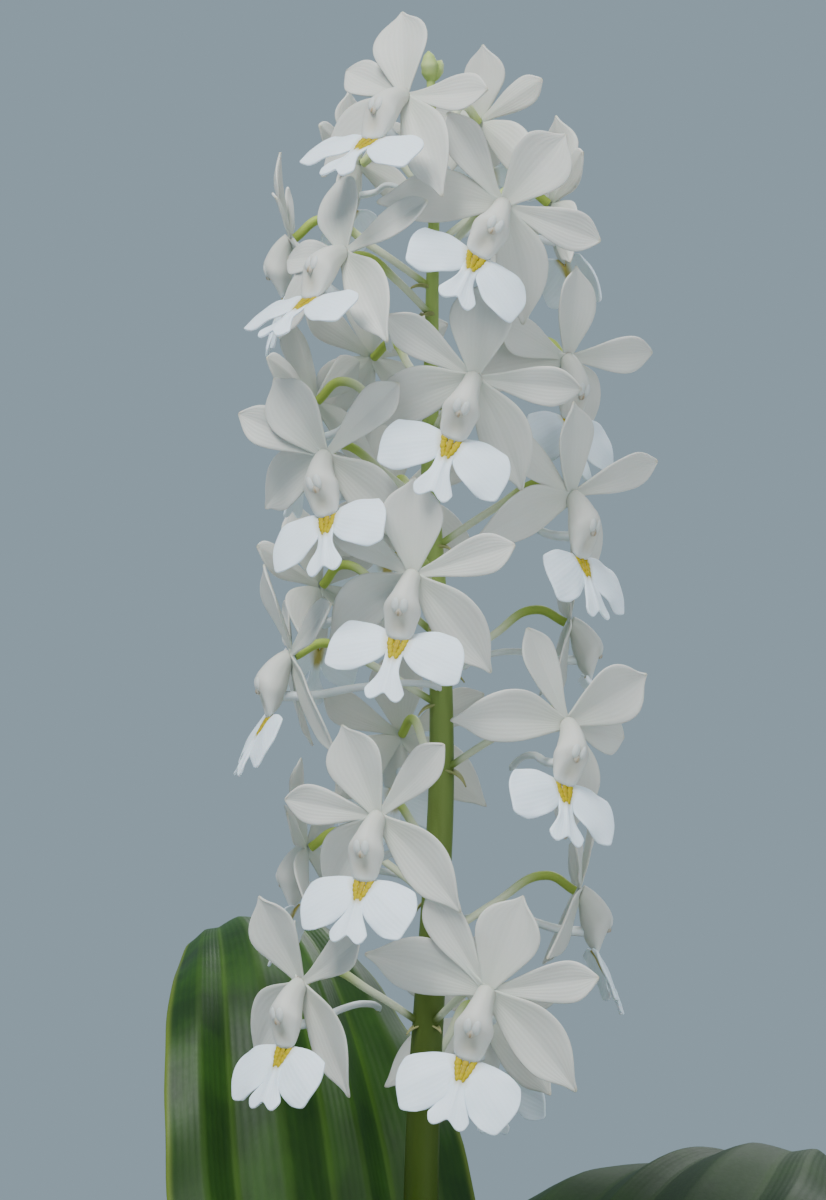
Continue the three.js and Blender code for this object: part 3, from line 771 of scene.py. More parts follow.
class FinishShelf:
    """Makes each finish once and hands it to the pieces that ask for it."""

    RECIPES = {
        Slot.CLAY: ClayFinish(),
        Slot.BARK: BarkFinish(),
        Slot.CROWN: CrownFinish(),
        Slot.STALK: StemFinish(),
        Slot.LEAF: LeafFinish(),
        Slot.BLOOM: PetalFinish(),
    }

    def __init__(self) -> None:
        """Starts with nothing made."""
        self.made: dict[Slot, bpy.types.Material] = {}

    def take(self, slot: Slot) -> bpy.types.Material:
        """The material of a slot.

        Args:
            slot: the slot.
        Returns:
            Its material, made when it is first asked for.
        """
        if slot not in self.made:
            self.made[slot] = self.RECIPES[slot].build()
        return self.made[slot]


class Assembly:
    """A sub-assembly: it builds one piece and dresses it in the finish of its slot."""

    node: str
    slot: Slot

    def build(self) -> bpy.types.Object:
        """Models the piece."""
        raise NotImplementedError

    def dress(self, piece: bpy.types.Object, shelf: FinishShelf) -> None:
        """Gives the piece its finish and its place in the frame.

        Args:
            piece: the modelled piece.
            shelf: where its finish comes from.
        """
        piece.data.materials.clear()
        piece.data.materials.append(shelf.take(self.slot))
        piece.name = piece.data.name = f"{self.node}_fine"
        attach(piece, "root")
        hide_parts(self.node)


@dataclass
class ClayPot(Assembly):
    """The round clay pot with its rim band and drainage holes."""

    node: str = "pot"
    slot: Slot = Slot.CLAY
    height: float = 128.0
    top_radius: float = 77.0
    foot_radius: float = 54.0
    wall: float = 4.5
    floor: float = 6.0
    rim_height: float = 20.0
    rim_step: float = 3.2
    rim_slope: float = 0.5
    rim_shoulder: float = 0.8
    sides: int = 112
    holes: int = 4
    hole_radius: float = 5.0
    hole_circle: float = 27.0
    hole_sides: int = 28
    sharp: float = 35.0

    def outside(self, z: float) -> float:
        """The radius of the tapered wall outside at a height."""
        return self.foot_radius + (self.top_radius - self.rim_step - self.foot_radius) * z / self.height

    def build(self) -> bpy.types.Object:
        """Spins the wall and cuts the drainage holes.

        Returns:
            The pot.
        """
        rim_bottom = self.height - self.rim_height
        corners = [
            (0.0, 0.0, 0.0),
            (self.foot_radius, 0.0, 2.2),
            (self.outside(rim_bottom), rim_bottom, 0.8),
            (self.top_radius - self.rim_slope, rim_bottom + self.rim_shoulder, 1.2),
            (self.top_radius, self.height, 2.0),
            (self.outside(self.height) - self.wall, self.height, 2.2),
            (self.outside(self.floor) - self.wall, self.floor, 3.0),
            (0.0, self.floor, 0.0),
        ]
        pot = Bench.turned(self.node, rounded(corners), self.sides)
        for k in range(self.holes):
            middle = outwards((k + 0.5) / self.holes * 360.0) * self.hole_circle
            Bench.pick()
            bpy.ops.mesh.primitive_cylinder_add(
                vertices=self.hole_sides, radius=self.hole_radius * MM, depth=self.floor * 3 * MM,
                location=tuple(middle * MM))
            cutter = bpy.context.object
            Bench.fix(pot, "BOOLEAN", operation="DIFFERENCE", object=cutter, solver="EXACT")
            bpy.data.objects.remove(cutter)
        Bench.smooth_faces(pot, self.sharp)
        return pot


@dataclass
class BarkMix(Assembly):
    """The bark mix: a dark mounded bed with loose chips all over its top.

    A pair of numbers is the range of a draw, for each model of a chip or for each chip.
    """

    node: str = "soil"
    slot: Slot = Slot.BARK
    bottom: float = 6.3
    top: float = 112.0
    mound: float = 4.0
    foot_radius: float = 50.2
    radius: float = 66.2
    rings: int = 14
    sides: int = 72
    bed_tone: float = 0.1
    sink: float = 1.0
    ripple: float = 1.2
    ripple_turns: Triple = (0.31, 0.37, 0.11)
    clear_of_wall: float = 4.5
    clear_of_crown: float = 20.0
    chips: int = 620
    models: int = 6
    roughness: float = 0.16
    width: tuple[float, float] = (0.45, 0.8)
    depth: tuple[float, float] = (0.22, 0.42)
    curl: float = 0.12
    size: tuple[float, float] = (4.5, 12.5)
    small_share: float = 1.6
    tilt: float = 0.35
    roll: float = 0.3
    lift: tuple[float, float] = (0.5, 2.4)
    tone: tuple[float, float] = (0.25, 1.0)
    seed: int = 12
    sharp: float = 38.0

    @staticmethod
    def between(draw: random.Random, limits: tuple[float, float], lean: float = 1.0) -> float:
        """A draw between two limits; a lean above 1 favours the lower one."""
        low, high = limits
        return low + (high - low) * draw.random() ** lean

    def surface(self, x: Numbers, y: Numbers) -> np.ndarray:
        """The height of the bed.

        Args:
            x: the places to the right.
            y: the places to the back.
        Returns:
            The height at each place.
        """
        x, y = np.asarray(x), np.asarray(y)
        share = np.clip(np.hypot(x, y) / self.radius, 0, 1)
        right, back, skew = self.ripple_turns
        ripple = self.ripple * np.sin(x * right + 1) * np.cos(y * back - x * skew)
        return self.top - self.sink + self.mound * (1 - share**2) + ripple

    def bed(self) -> bpy.types.Object:
        """The bed under the chips.

        Returns:
            The bed.
        """
        rings = [(self.radius * k / self.rings, self.top) for k in range(self.rings, -1, -1)]
        outline = [(0.0, self.bottom), (self.foot_radius, self.bottom), *rings]
        bed = Bench.turned("bed", outline, self.sides)
        points = Bench.points(bed) / MM
        high = points[:, 2] > self.top - self.sink
        points[high, 2] = self.surface(points[high, 0], points[high, 1])
        Bench.shape(bed, points)
        Bench.paint(bed, red=self.bed_tone)
        return bed

    def chip_model(self, number: int, draw: random.Random) -> bpy.types.Object:
        """One rough, flat flake of bark, a metre long until it is placed.

        Args:
            number: the number of the model.
            draw: where its width and depth come from.
        Returns:
            The flake.
        """
        Bench.pick()
        bpy.ops.mesh.primitive_cube_add(size=1.0)
        chip = bpy.context.object
        chip.name = f"chip_{number}"
        bpy.ops.object.mode_set(mode="EDIT")
        bpy.ops.mesh.select_all(action="SELECT")
        bpy.ops.mesh.subdivide(number_cuts=1)
        bpy.ops.transform.vertex_random(offset=self.roughness, seed=number + 1)
        bpy.ops.object.mode_set(mode="OBJECT")
        points = Bench.points(chip)
        points *= [1.0, self.between(draw, self.width), self.between(draw, self.depth)]
        points[:, 2] += self.curl * np.cos(points[:, 0] * 3.0)
        Bench.shape(chip, points / MM)
        return chip

    def build(self) -> bpy.types.Object:
        """Strews the chips over the bed.

        Returns:
            The bark mix.
        """
        draw = random.Random(self.seed)
        models = [self.chip_model(k, draw) for k in range(self.models)]
        pieces = [self.bed()]
        while len(pieces) <= self.chips:
            reach = (self.radius - self.clear_of_wall) * math.sqrt(draw.random())
            x, y = outwards(draw.random() * 360.0)[:2] * reach
            if math.hypot(x - CROWN_X, y) < self.clear_of_crown:
                continue
            size = self.between(draw, self.size, self.small_share)
            turn = Matrix.Rotation(draw.random() * 2 * math.pi, 3, "Z")
            turn = turn @ Matrix.Rotation(draw.gauss(0, self.tilt), 3, "X")
            turn = turn @ Matrix.Rotation(draw.gauss(0, self.roll), 3, "Y")
            chip = Bench.copy(draw.choice(models), "chip")
            points = Bench.points(chip) @ np.array(turn.transposed()) * size
            z = float(self.surface(x, y)) + self.between(draw, self.lift)
            Bench.shape(chip, points + [x, y, z])
            Bench.paint(chip, red=self.between(draw, self.tone))
            pieces.append(chip)
        soil = Bench.join(pieces, self.node)
        for model in models:
            bpy.data.objects.remove(model)
        Bench.smooth_faces(soil, self.sharp)
        return soil


@dataclass(frozen=True)
class Root:
    """A thick root: its azimuth, how far out it reaches and the height of its end."""

    round: float
    reach: float
    end: float


@dataclass(frozen=True)
class Sheath:
    """A papery sheath: its azimuth, the heights of its foot and point, and its radius at the top."""

    round: float
    low: float
    high: float
    flare: float


@dataclass
class Crown(Assembly):
    """The crown: a short ribbed stem base, wrapped in sheaths, with thick roots below."""

    node: str = "crown"
    slot: Slot = Slot.CROWN
    outline: Pairs = ((0.0, 92.0), (7.0, 92.5), (14.0, 99.0), (17.6, 108.0), (18.0, 116.0), (17.6, 124.0),
                      (16.2, 134.0), (14.6, 142.0), (13.4, 145.6), (0.0, 146.0))
    sides: int = 60
    ribs: int = 17
    rib: float = 0.02
    rib_twist: float = 0.05
    roots: Sequence[Root] = (
        Root(20, 44, 46), Root(92, 40, 30), Root(163, 46, 52), Root(-125, 38, 26), Root(-55, 44, 40))
    root_from: tuple[float, float] = (4.0, 104.0)
    root_knee: tuple[float, float] = (0.62, 0.3)
    root_radii: Triple = (2.6, 2.0, 1.3)
    root_tone: float = 0.6
    sheaths: Sequence[Sheath] = (
        Sheath(-146, 116, 156, 18.6), Sheath(140, 113, 153, 20.4), Sheath(80, 116, 155, 25.0),
        Sheath(22, 111, 151, 26.0), Sheath(-38, 114, 154, 25.0), Sheath(-94, 110, 151, 26.0))
    wall: Pairs = ((92, 15), (110, 18.1), (122, 18.3), (134, 17.6))
    neck: float = 142.0
    neck_radius: float = 16.0
    neck_share: float = 0.12
    top: float = 156.0
    half_spread: float = 62.0
    taper: float = 0.85
    dip: float = 4.0
    stand_off: float = 0.7
    hug: float = 0.6
    paper: float = 0.6
    sharp: float = 50.0

    def sheath(self, one: Sheath) -> bpy.types.Object:
        """One papery sheath that hugs the crown and ends in a point.

        Args:
            one: where the sheath stands.
        Returns:
            The sheath.
        """
        sheet = Bench.grid("sheath", 18, 16)
        s, v = Bench.sheet_places(sheet)
        spread = self.half_spread * (1 - v**2.4 * self.taper)
        z = one.low + (one.high - one.low) * v - self.dip * np.abs(s) * v
        neck = (self.neck, self.neck_radius + self.neck_share * one.flare)
        radius = smooth((*self.wall, neck, (self.top, one.flare)), z) + self.stand_off - self.hug * s**2
        points = outwards(one.round + s * spread) * radius[:, None]
        points[:, 0] += CROWN_X
        points[:, 2] = z
        Bench.shape(sheet, points)
        dry = rise(0.7, 1.0, v) * 0.8 + rise(0.86, 1.0, np.abs(s)) * 0.7
        Bench.paint(sheet, red=np.clip(dry, 0, 1))
        Bench.fix(sheet, "SOLIDIFY", thickness=self.paper * MM, offset=0.0)
        return sheet

    def body(self) -> bpy.types.Object:
        """The ribbed stem base.

        Returns:
            The body of the crown.
        """
        body = Bench.turned("body", self.outline, self.sides, CROWN_X)
        points = Bench.points(body) / MM
        turn = np.arctan2(points[:, 1], points[:, 0] - CROWN_X)
        swell = 1 + self.rib * np.cos(self.ribs * turn + points[:, 2] * self.rib_twist)
        points[:, 0] = CROWN_X + (points[:, 0] - CROWN_X) * swell
        points[:, 1] *= swell
        Bench.shape(body, points)
        Bench.paint(body)
        return body

    def root_stems(self) -> bpy.types.Object:
        """The roots, which bend down into the bark mix.

        Returns:
            All roots in one mesh.
        """
        lines = []
        out, high = self.root_from
        knee_out, knee_down = self.root_knee
        for root in self.roots:
            ends = [(out, high), (root.reach * knee_out, high + (root.end - high) * knee_down),
                    (root.reach, root.end)]
            spots = [outwards(root.round) * reach + [CROWN_X, 0, z] for reach, z in ends]
            lines.append(Stem(spots, self.root_radii))
        stems = Bench.stems("roots", lines, 2)
        Bench.paint(stems, red=self.root_tone)
        return stems

    def build(self) -> bpy.types.Object:
        """Joins the body, its sheaths and its roots.

        Returns:
            The crown.
        """
        parts = [self.body(), self.root_stems(), *map(self.sheath, self.sheaths)]
        crown = Bench.join(parts, self.node)
        Bench.smooth_faces(crown, self.sharp)
        return crown


# How far the stalk bends to the right, and its radius, each with the height where it is so.
STALK_BEND = (
    (112, -3), (200, -2.6), (297, -1.5), (320, -0.9), (345, 0.6), (362, 1.7), (383, 2.8),
    (404, 3.0), (426, 1.9), (450, 0.4), (470, 0.6), (492, 0.9), (512, 1.3), (545, 0.4))
STALK_TAPER = ((112, 4.3), (297, 3.8), (383, 2.8), (450, 1.95), (512, 1.15), (539, 0.9))
HUB_RADIUS = 2.1
PETAL_HALF = 0.35
GAP = 0.3


def stalk_middle(z: float) -> np.ndarray:
    """The middle of the stalk at a height."""
    return np.array([float(along(STALK_BEND, z)), 0.0, z])


class Side(Enum):
    """The side to which a bloom sweeps its spur, as its viewer sees it."""

    LEFT = -1
    RIGHT = 1


@dataclass(frozen=True)
class Axes:
    """A place with three directions of its own."""

    centre: np.ndarray
    right: np.ndarray
    front: np.ndarray
    up: np.ndarray

    def at(self, r: Numbers, f: Numbers, u: Numbers) -> np.ndarray:
        """The point so far right, forward and up of the place."""
        r, f, u = (np.asarray(value, float)[..., None] for value in (r, f, u))
        return self.centre + self.right * r + self.front * f + self.up * u

    def ray(self, degrees: float) -> np.ndarray:
        """The direction at a clockwise angle from up."""
        return self.up * math.cos(math.radians(degrees)) + self.right * math.sin(math.radians(degrees))


@dataclass(frozen=True)
class Stance:
    """How one bloom stands on the stalk; lengths are in millimetres and angles in degrees.

    The bloom's middle is at a height z, an azimuth round and a reach from the stalk. Yaw, pitch and
    roll turn the bloom, and lip is the angle of its side lobes from straight down. Side and spur are
    where the spur sweeps and how long it is. Turn and back, where given, are the angle from up and
    the lean back of each of its TEPALS.
    """

    z: float
    round: float
    reach: float
    yaw: float
    pitch: float
    roll: float
    size: float
    lip: float
    side: Side
    spur: float
    turn: tuple[float, ...] = ()
    back: tuple[float, ...] = ()

    def axes(self) -> Axes:
        """The middle of the bloom and its own directions.

        Returns:
            The axes.
        """
        turn = (Matrix.Rotation(math.radians(self.yaw), 3, "Z")
                @ Matrix.Rotation(math.radians(self.pitch), 3, "X")
                @ Matrix.Rotation(math.radians(self.roll), 3, "Y"))
        right, back, up = np.array(turn).T
        return Axes(outwards(self.round) * self.reach + stalk_middle(self.z), right, -back, up)


L, R = Side.LEFT, Side.RIGHT
STANCES = (
    Stance(531, -14, 24, -37, -20, 6, 1.0, 70, R, 22, (-20, 86, 137, -125, -71), (0, 4, 4, 8, 8)),
    Stance(531, 148, 20, 148, 4, 0, 0.82, 70, R, 18),
    Stance(521, -124, 19, -124, 8, 8, 0.78, 52, R, 18),
    Stance(513, 124, 31, 116, 10, 0, 0.95, 62, L, 24),
    Stance(508, 28, 30, 8, 1, 30, 1.0, 60, R, 20, (12, 78, 130, -112, -62), (4, 6, 14, 10, 0)),
    Stance(504, -99, 31, -92, 17, 9, 0.92, 56, R, 18),
    Stance(498, -37, 31, -46, -20, -1, 1.0, 70, L, 24, (-22, 60, 133, -120, -84), (0, 6, 6, 12, 10)),
    Stance(480, -156, 32, -145, 5, 0, 0.95, 66, R, 22),
    Stance(478, 93, 29, 42, 15, 6, 0.98, 58, L, 24, (-2, 75, 130, -108, -80), (8, -14, 10, 26, 0)),
    Stance(472, 17, 30, -8, 10, 19, 1.0, 62, R, 24, (-11, 78, 134, -124, -72), (10, 4, 8, 6, 2)),
    Stance(469, -106, 26, -120, 16, 0, 0.92, 60, R, 22),
    Stance(456, -45, 31, -28, 4, -15, 1.0, 64, L, 24, (-20, 63, 143, -96, -50), (-2, 6, 8, 24, 4)),
    Stance(449, -164, 30, -164, 12, 0, 0.95, 66, L, 22),
    Stance(448, 74, 31, 50, 8, 8, 1.0, 56, R, 24, (-18, 56, 128, -116, -66), (2, -20, 10, 16, 16)),
    Stance(429, -123, 30, -132, 20, 3, 0.95, 62, R, 22),
    Stance(431, -9, 31, -16, 6, 8, 1.0, 72, L, 24, (-5, 66, 130, -126, -65), (2, 8, 8, 12, 10)),
    Stance(421, 113, 31, 92, 5, 0, 0.95, 60, R, 24),
    Stance(414, -80, 32, -78, 4, 0, 1.0, 56, R, 32, (0, 60, 140, -136, -62), (-14, 16, 10, 12, 12)),
    Stance(400, 52, 33, 30, 4, 18, 1.0, 60, R, 24, (40, 84, 146, -100, -44), (-8, 26, 10, 6, 4)),
    Stance(396, -163, 30, -160, 12, 0, 0.95, 66, R, 22),
    Stance(381, -25, 31, -25, 4, 4, 1.0, 52, R, 24, (-26, 42, 128, -138, -86), (4, 2, 6, 16, 6)),
    Stance(372, -109, 30, -104, 12, 0, 0.96, 58, L, 24),
    Stance(363, 98, 31, 92, 10, 6, 1.0, 60, R, 28),
    Stance(345, -62, 31, -42, 4, 0, 1.0, 48, L, 30, (-24, 60, 146, -128, -56), (-6, 2, 4, 10, 40)),
    Stance(345, 21, 32, -14, 8, 14, 1.06, 46, R, 24, (8, 68, 119, -84, -44), (6, 4, 4, 8, 2)),
    Stance(333, 157, 30, 157, 12, 0, 1.0, 66, L, 24),
)


@dataclass(frozen=True)
class Bud:
    """A closed bud at the tip: its azimuth, length, radius and lean."""

    round: float
    length: float
    radius: float
    lean: float


@dataclass
class FlowerStalk(Assembly):
    """The stalk, its arched pedicels with their bracts, and the closed buds at its tip."""

    node: str = "stalk"
    slot: Slot = Slot.STALK
    bottom: float = 123.0
    top: float = 539.0
    knots: int = 30
    drop: float = 11.0
    middle: float = 0.55
    lift: float = 0.8
    arch: float = 2.3
    behind: float = 7.0
    foot_radius: float = 0.75
    neck_radius: float = 1.02
    swells: Sequence[float] = (0.0, 0.4, 1.0, 0.9)
    bract_length: float = 5.5
    bract_half: Pairs = ((0, 0.9), (0.25, 1.4), (0.6, 0.9), (1, 0))
    bract_lean: tuple[float, float] = (50.0, 50.0)
    bract_draws: Triple = (0.25, 14.0, 12.0)
    bract_cup: float = 0.5
    bract_drop: float = 0.6
    bract_out: float = 0.5
    bract_thickness: float = 0.35
    buds: Sequence[Bud] = (Bud(-20, 6.5, 1.9, 12), Bud(120, 5.5, 1.6, 30), Bud(-95, 4.2, 1.2, 22))
    bud_depth: float = 1.5
    bud_outline: Pairs = ((0.0, 0.45), (0.25, 0.85), (0.55, 1.0), (0.85, 0.6), (1.0, 0.08))
    green_from: float = 280.0
    green_to: float = 490.0
    skin: float = 0.6
    pedicel_reach: float = 22.0

    def line(self) -> Stem:
        """The stalk's own line.

        Returns:
            The stem.
        """
        heights = np.linspace(self.bottom, self.top, self.knots)
        radii = [float(along(STALK_TAPER, z)) for z in heights]
        return Stem([stalk_middle(float(z)) for z in heights], radii, 4)

    def foot(self, stance: Stance) -> np.ndarray:
        """Where a bloom's pedicel leaves the middle of the stalk."""
        return stalk_middle(stance.z - self.drop)

    def pedicel(self, stance: Stance) -> Stem:
        """The pedicel of one bloom: it rises, arches over and meets the back of the bloom.

        Args:
            stance: how the bloom stands.
        Returns:
            The stem.
        """
        axes = stance.axes()
        neck = axes.at(0, -PETAL_HALF - GAP, 0)
        behind = axes.at(0, -self.behind, 0) + [0, 0, self.arch]
        foot = self.foot(stance)
        half = foot + (behind - foot) * self.middle + [0, 0, self.lift]
        radii = [self.foot_radius + (self.neck_radius - self.foot_radius) * share for share in self.swells]
        return Stem([foot, half, behind, neck], radii, 10)

    def bract(self, model: bpy.types.Object, stance: Stance, number: int) -> bpy.types.Object:
        """The small pointed bract under one pedicel.

        Args:
            model: the flat sheet that it is bent from.
            stance: how the bloom stands.
            number: the number of the bloom.
        Returns:
            The sheet, still without thickness.
        """
        bract = Bench.copy(model, "bract")
        s, u = Bench.sheet_places(model)
        longer, aside, lower = (
            spread * vary(number, Draw.BRACT, step) for step, spread in enumerate(self.bract_draws))
        azimuth = stance.round + aside
        half = smooth(self.bract_half, u)
        lean = self.bract_lean[0] + self.bract_lean[1] * u + lower
        way = leaning(np.full_like(u, azimuth), lean)
        start = self.foot(stance) - [0, 0, self.bract_drop]
        reach = u * self.bract_length * (1 + longer)
        spine = start + outwards(azimuth) * self.bract_out + way * reach[:, None]
        facing = leaning(np.full_like(u, azimuth), lean - 90)
        across = outwards(azimuth + 90)
        cup = self.bract_cup * half * s**2
        Bench.shape(bract, spine + across * (s * half)[:, None] + facing * cup[:, None])
        Bench.paint(bract, green=0.7, blue=0.4 + 0.6 * u)
        return bract

    def bud(self, one: Bud) -> Stem:
        """A closed bud.

        Args:
            one: the bud.
        Returns:
            Its stem, thick in the middle.
        """
        start = stalk_middle(self.top) - [0, 0, self.bud_depth]
        way = leaning(np.array(one.round), np.array(one.lean)) * one.length
        spots = [start + way * share for share, _ in self.bud_outline]
        return Stem(spots, [one.radius * wide for _, wide in self.bud_outline], 5)

    def build(self) -> bpy.types.Object:
        """Joins the stems, the buds and the bracts.

        Returns:
            The stalk.
        """
        pedicels = [self.pedicel(stance) for stance in STANCES]
        stems = Bench.stems("stems", [self.line(), *pedicels, *map(self.bud, self.buds)], 4)
        points = Bench.points(stems) / MM
        out = np.hypot(points[:, 0] - along(STALK_BEND, points[:, 2]), points[:, 1])
        near = (out - along(STALK_TAPER, points[:, 2]) - self.skin) / self.pedicel_reach
        height = rise(self.green_from, self.green_to, points[:, 2])
        Bench.paint(stems, red=np.clip(near, 0, 1), green=height)
        model = Bench.grid("bract_model", 4, 8)
        bracts = [self.bract(model, stance, k) for k, stance in enumerate(STANCES)]
        bpy.data.objects.remove(model)
        leafy = Bench.join(bracts, "bracts")
        Bench.fix(leafy, "SOLIDIFY", thickness=self.bract_thickness * MM, offset=0.0)
        stalk = Bench.join([stems, leafy], self.node)
        Bench.smooth_faces(stalk)
        return stalk


@dataclass
class Leaf(Assembly):
    """One pleated leaf with a waved edge that arches over, on its narrow foot.

    It leaves the crown at an azimuth round and veers from it. Its lean from upright grows from the
    first number to the second, the later the larger late is. Turn twists it; painted shade darkens it.
    """

    node: str
    round: float
    veer: float
    length: float
    half: float
    lean: tuple[float, float]
    late: float
    turn: float
    # how much painted shade darkens the leaf
    age: float
    slot: Slot = Slot.LEAF
    outline: Pairs = ((0, 0.09), (0.1, 0.15), (0.22, 0.46), (0.36, 0.86), (0.5, 1.0), (0.64, 0.9),
                      (0.78, 0.6), (0.9, 0.3), (0.96, 0.12), (1.0, 0.0))
    columns: int = 64
    rows: int = 84
    pleats: int = 8
    pleat: float = 0.075
    pleat_drift: float = 0.07
    drift_turns: float = 5.2
    crease: float = 0.65
    flatten: float = 0.5
    keel: tuple[float, float] = (0.42, -0.42)
    wave: float = 2.4
    waves: float = 19.0
    ripple: float = 0.5
    ripples: float = 74.0
    thickness: float = 0.9
    foot_circle: float = 9.6
    foot_bottom: float = 131.0
    foot_length: float = 18.0
    rib_shares: Sequence[float] = (0.0, 0.08, 0.16, 0.26, 0.38, 0.5, 0.62)
    rib_radii: Sequence[float] = (3.6, 3.0, 2.4, 1.9, 1.5, 1.2, 0.9, 0.5)
    pale_foot: tuple[float, float] = (6.0, 70.0)
    samples: int = 400

    def lean_at(self, share: Numbers) -> np.ndarray:
        """How far from upright the leaf leans at a share of its length."""
        return self.lean[0] + (self.lean[1] - self.lean[0]) * np.asarray(share) ** self.late

    def round_at(self, share: Numbers) -> np.ndarray:
        """The azimuth in which the leaf goes at a share of its length."""
        return self.round + self.veer * np.asarray(share)

    def foot(self) -> np.ndarray:
        """The bottom of the leaf's foot in the crown."""
        return outwards(self.round) * self.foot_circle + [CROWN_X, 0, self.foot_bottom]

    def spine(self, share: np.ndarray) -> np.ndarray:
        """Points of the middle line.

        Args:
            share: their shares of the length.
        Returns:
            One row for each point.
        """
        start = self.foot() + leaning(np.array(self.round), np.array(self.lean[0])) * self.foot_length
        passed = (np.arange(self.samples) + 0.5) / self.samples
        steps = leaning(self.round_at(passed), self.lean_at(passed)) * self.length / self.samples
        line = np.vstack([[0, 0, 0], np.cumsum(steps, axis=0)]) + start
        places = np.linspace(0, 1, self.samples + 1)
        return np.stack([np.interp(share, places, line[:, axis]) for axis in range(3)], axis=1)

    def relief(self, s: np.ndarray, share: np.ndarray, half: np.ndarray) -> np.ndarray:
        """How far the blade's points stand out from its middle surface.

        Args:
            s: their places across the blade, from -1 to 1.
            share: their shares of the length.
            half: the half width of the blade there.
        Returns:
            One distance for each point.
        """
        column = (s + 1) * self.pleats / 2
        sharp = 1 - 2 * np.abs(column % 2 - 1)
        fold = self.crease * sharp - (1 - self.crease) * np.cos(np.pi * column)
        keel = (self.keel[0] + (self.keel[1] - self.keel[0]) * share) * half * s**2
        wave = self.wave * np.abs(s) * np.sin(share * self.waves + 2 * s) * np.minimum(1, 2 * share)
        ripple = self.ripple * np.abs(s) ** 4 * np.sin(share * self.ripples + 3 * s) * rise(0.1, 0.4, share)
        depth = self.pleat * half * (1 - self.flatten * rise(0.3, 0.6, share))
        return keel + fold * depth + wave + ripple

    def blade(self) -> bpy.types.Object:
        """The pleated blade.

        Returns:
            The blade with its thickness.
        """
        sheet = Bench.grid("blade", self.columns, self.rows)
        s, share = Bench.sheet_places(sheet)
        spread = s + self.pleat_drift * (1 - s**2) * np.sin(self.drift_turns * s + self.round)
        lean, azimuth = self.lean_at(share), self.round_at(share)
        side = outwards(azimuth + 90)
        upper = leaning(azimuth, lean - 90)
        turned = np.radians(self.turn * share)[:, None]
        across = side * np.cos(turned) + upper * np.sin(turned)
        facing = upper * np.cos(turned) - side * np.sin(turned)
        half = smooth(self.outline, share) * self.half
        out = self.relief(s, share, half)
        Bench.shape(sheet, self.spine(share) + across * (spread * half)[:, None] + facing * out[:, None])
        Bench.fix(sheet, "SOLIDIFY", thickness=self.thickness * MM, offset=0.0)
        return sheet

    def rib(self) -> bpy.types.Object:
        """The foot of the leaf and the middle rib that runs on from it behind the blade.

        Returns:
            The foot and rib as one stem.
        """
        share = np.array(self.rib_shares)
        behind = -leaning(self.round_at(share), self.lean_at(share) - 90)
        back = self.pleat * self.half * smooth(self.outline, share)
        points = [self.foot(), *(self.spine(share) + behind * back[:, None])]
        return Bench.stems("rib", [Stem(points, self.rib_radii, 6)], 2)

    def build(self) -> bpy.types.Object:
        """Joins the blade and its rib.

        Returns:
            The leaf.
        """
        leaf = Bench.join([self.blade(), self.rib()], self.node)
        Bench.merge(leaf)
        reach = np.linalg.norm(Bench.points(leaf) / MM - self.foot(), axis=1)
        # green: the leaf's painted shade, darker for the leaves that stand in the shade of others
        Bench.paint(leaf, red=1 - rise(*self.pale_foot, reach), green=self.age)
        Bench.smooth_faces(leaf)
        return leaf


# The last number of each leaf is its painted shade: leaves in the shade of others are painted darker.
LEAVES = (
    Leaf("leaf_1", -146, -24, 280, 36, (9, 168), 4, 2, 0.05),
    Leaf("leaf_2", 140, 14, 268, 46, (15, 150), 2, -9, 0.95),
    Leaf("leaf_3", 80, 4, 288, 40, (31, 128), 1.1, 6, 0.7),
    Leaf("leaf_4", 22, -6, 290, 39, (36, 130), 1.1, -4, 0.6),
    Leaf("leaf_5", -38, -4, 310, 41, (30, 134), 1.15, -6, 0.4),
    Leaf("leaf_6", -94, 5, 268, 37, (37, 126), 1.1, 4, 0.6),
)


@dataclass(frozen=True)
class BladeForm:
    """The outline of one kind of blade of a bloom, as pairs of share and half width.

    Left and right are the two edges; cup is how far they stand forward, per half width, and end says
    where the blade ends across its width, as pairs of side and share. An outline starts at ROOT,
    behind the rim of the bloom's hub.
    """

    length: float
    left: Pairs
    right: Pairs
    cup: float
    end: Pairs = ((-1, 1), (1, 1))
    groove: float = 0.25
    wave: float = 0.3
    rows: int = 13
    columns: int = 8


@dataclass(frozen=True)
class Posture:
    """How one blade stands: angle from up, lean back at root and tip, side bend, twist and hook."""

    angle: float
    lean: tuple[float, float]
    bend: float = 0.0
    twist: float = 0.0
    hook: float = 0.0


def even(pairs: Pairs) -> dict[str, Pairs]:
    """The same outline on both edges of a blade."""
    return {"left": pairs, "right": pairs}


def mirrored(pairs: Pairs) -> Pairs:
    """The other half of an end line."""
    return tuple((-s, share) for s, share in reversed(pairs))


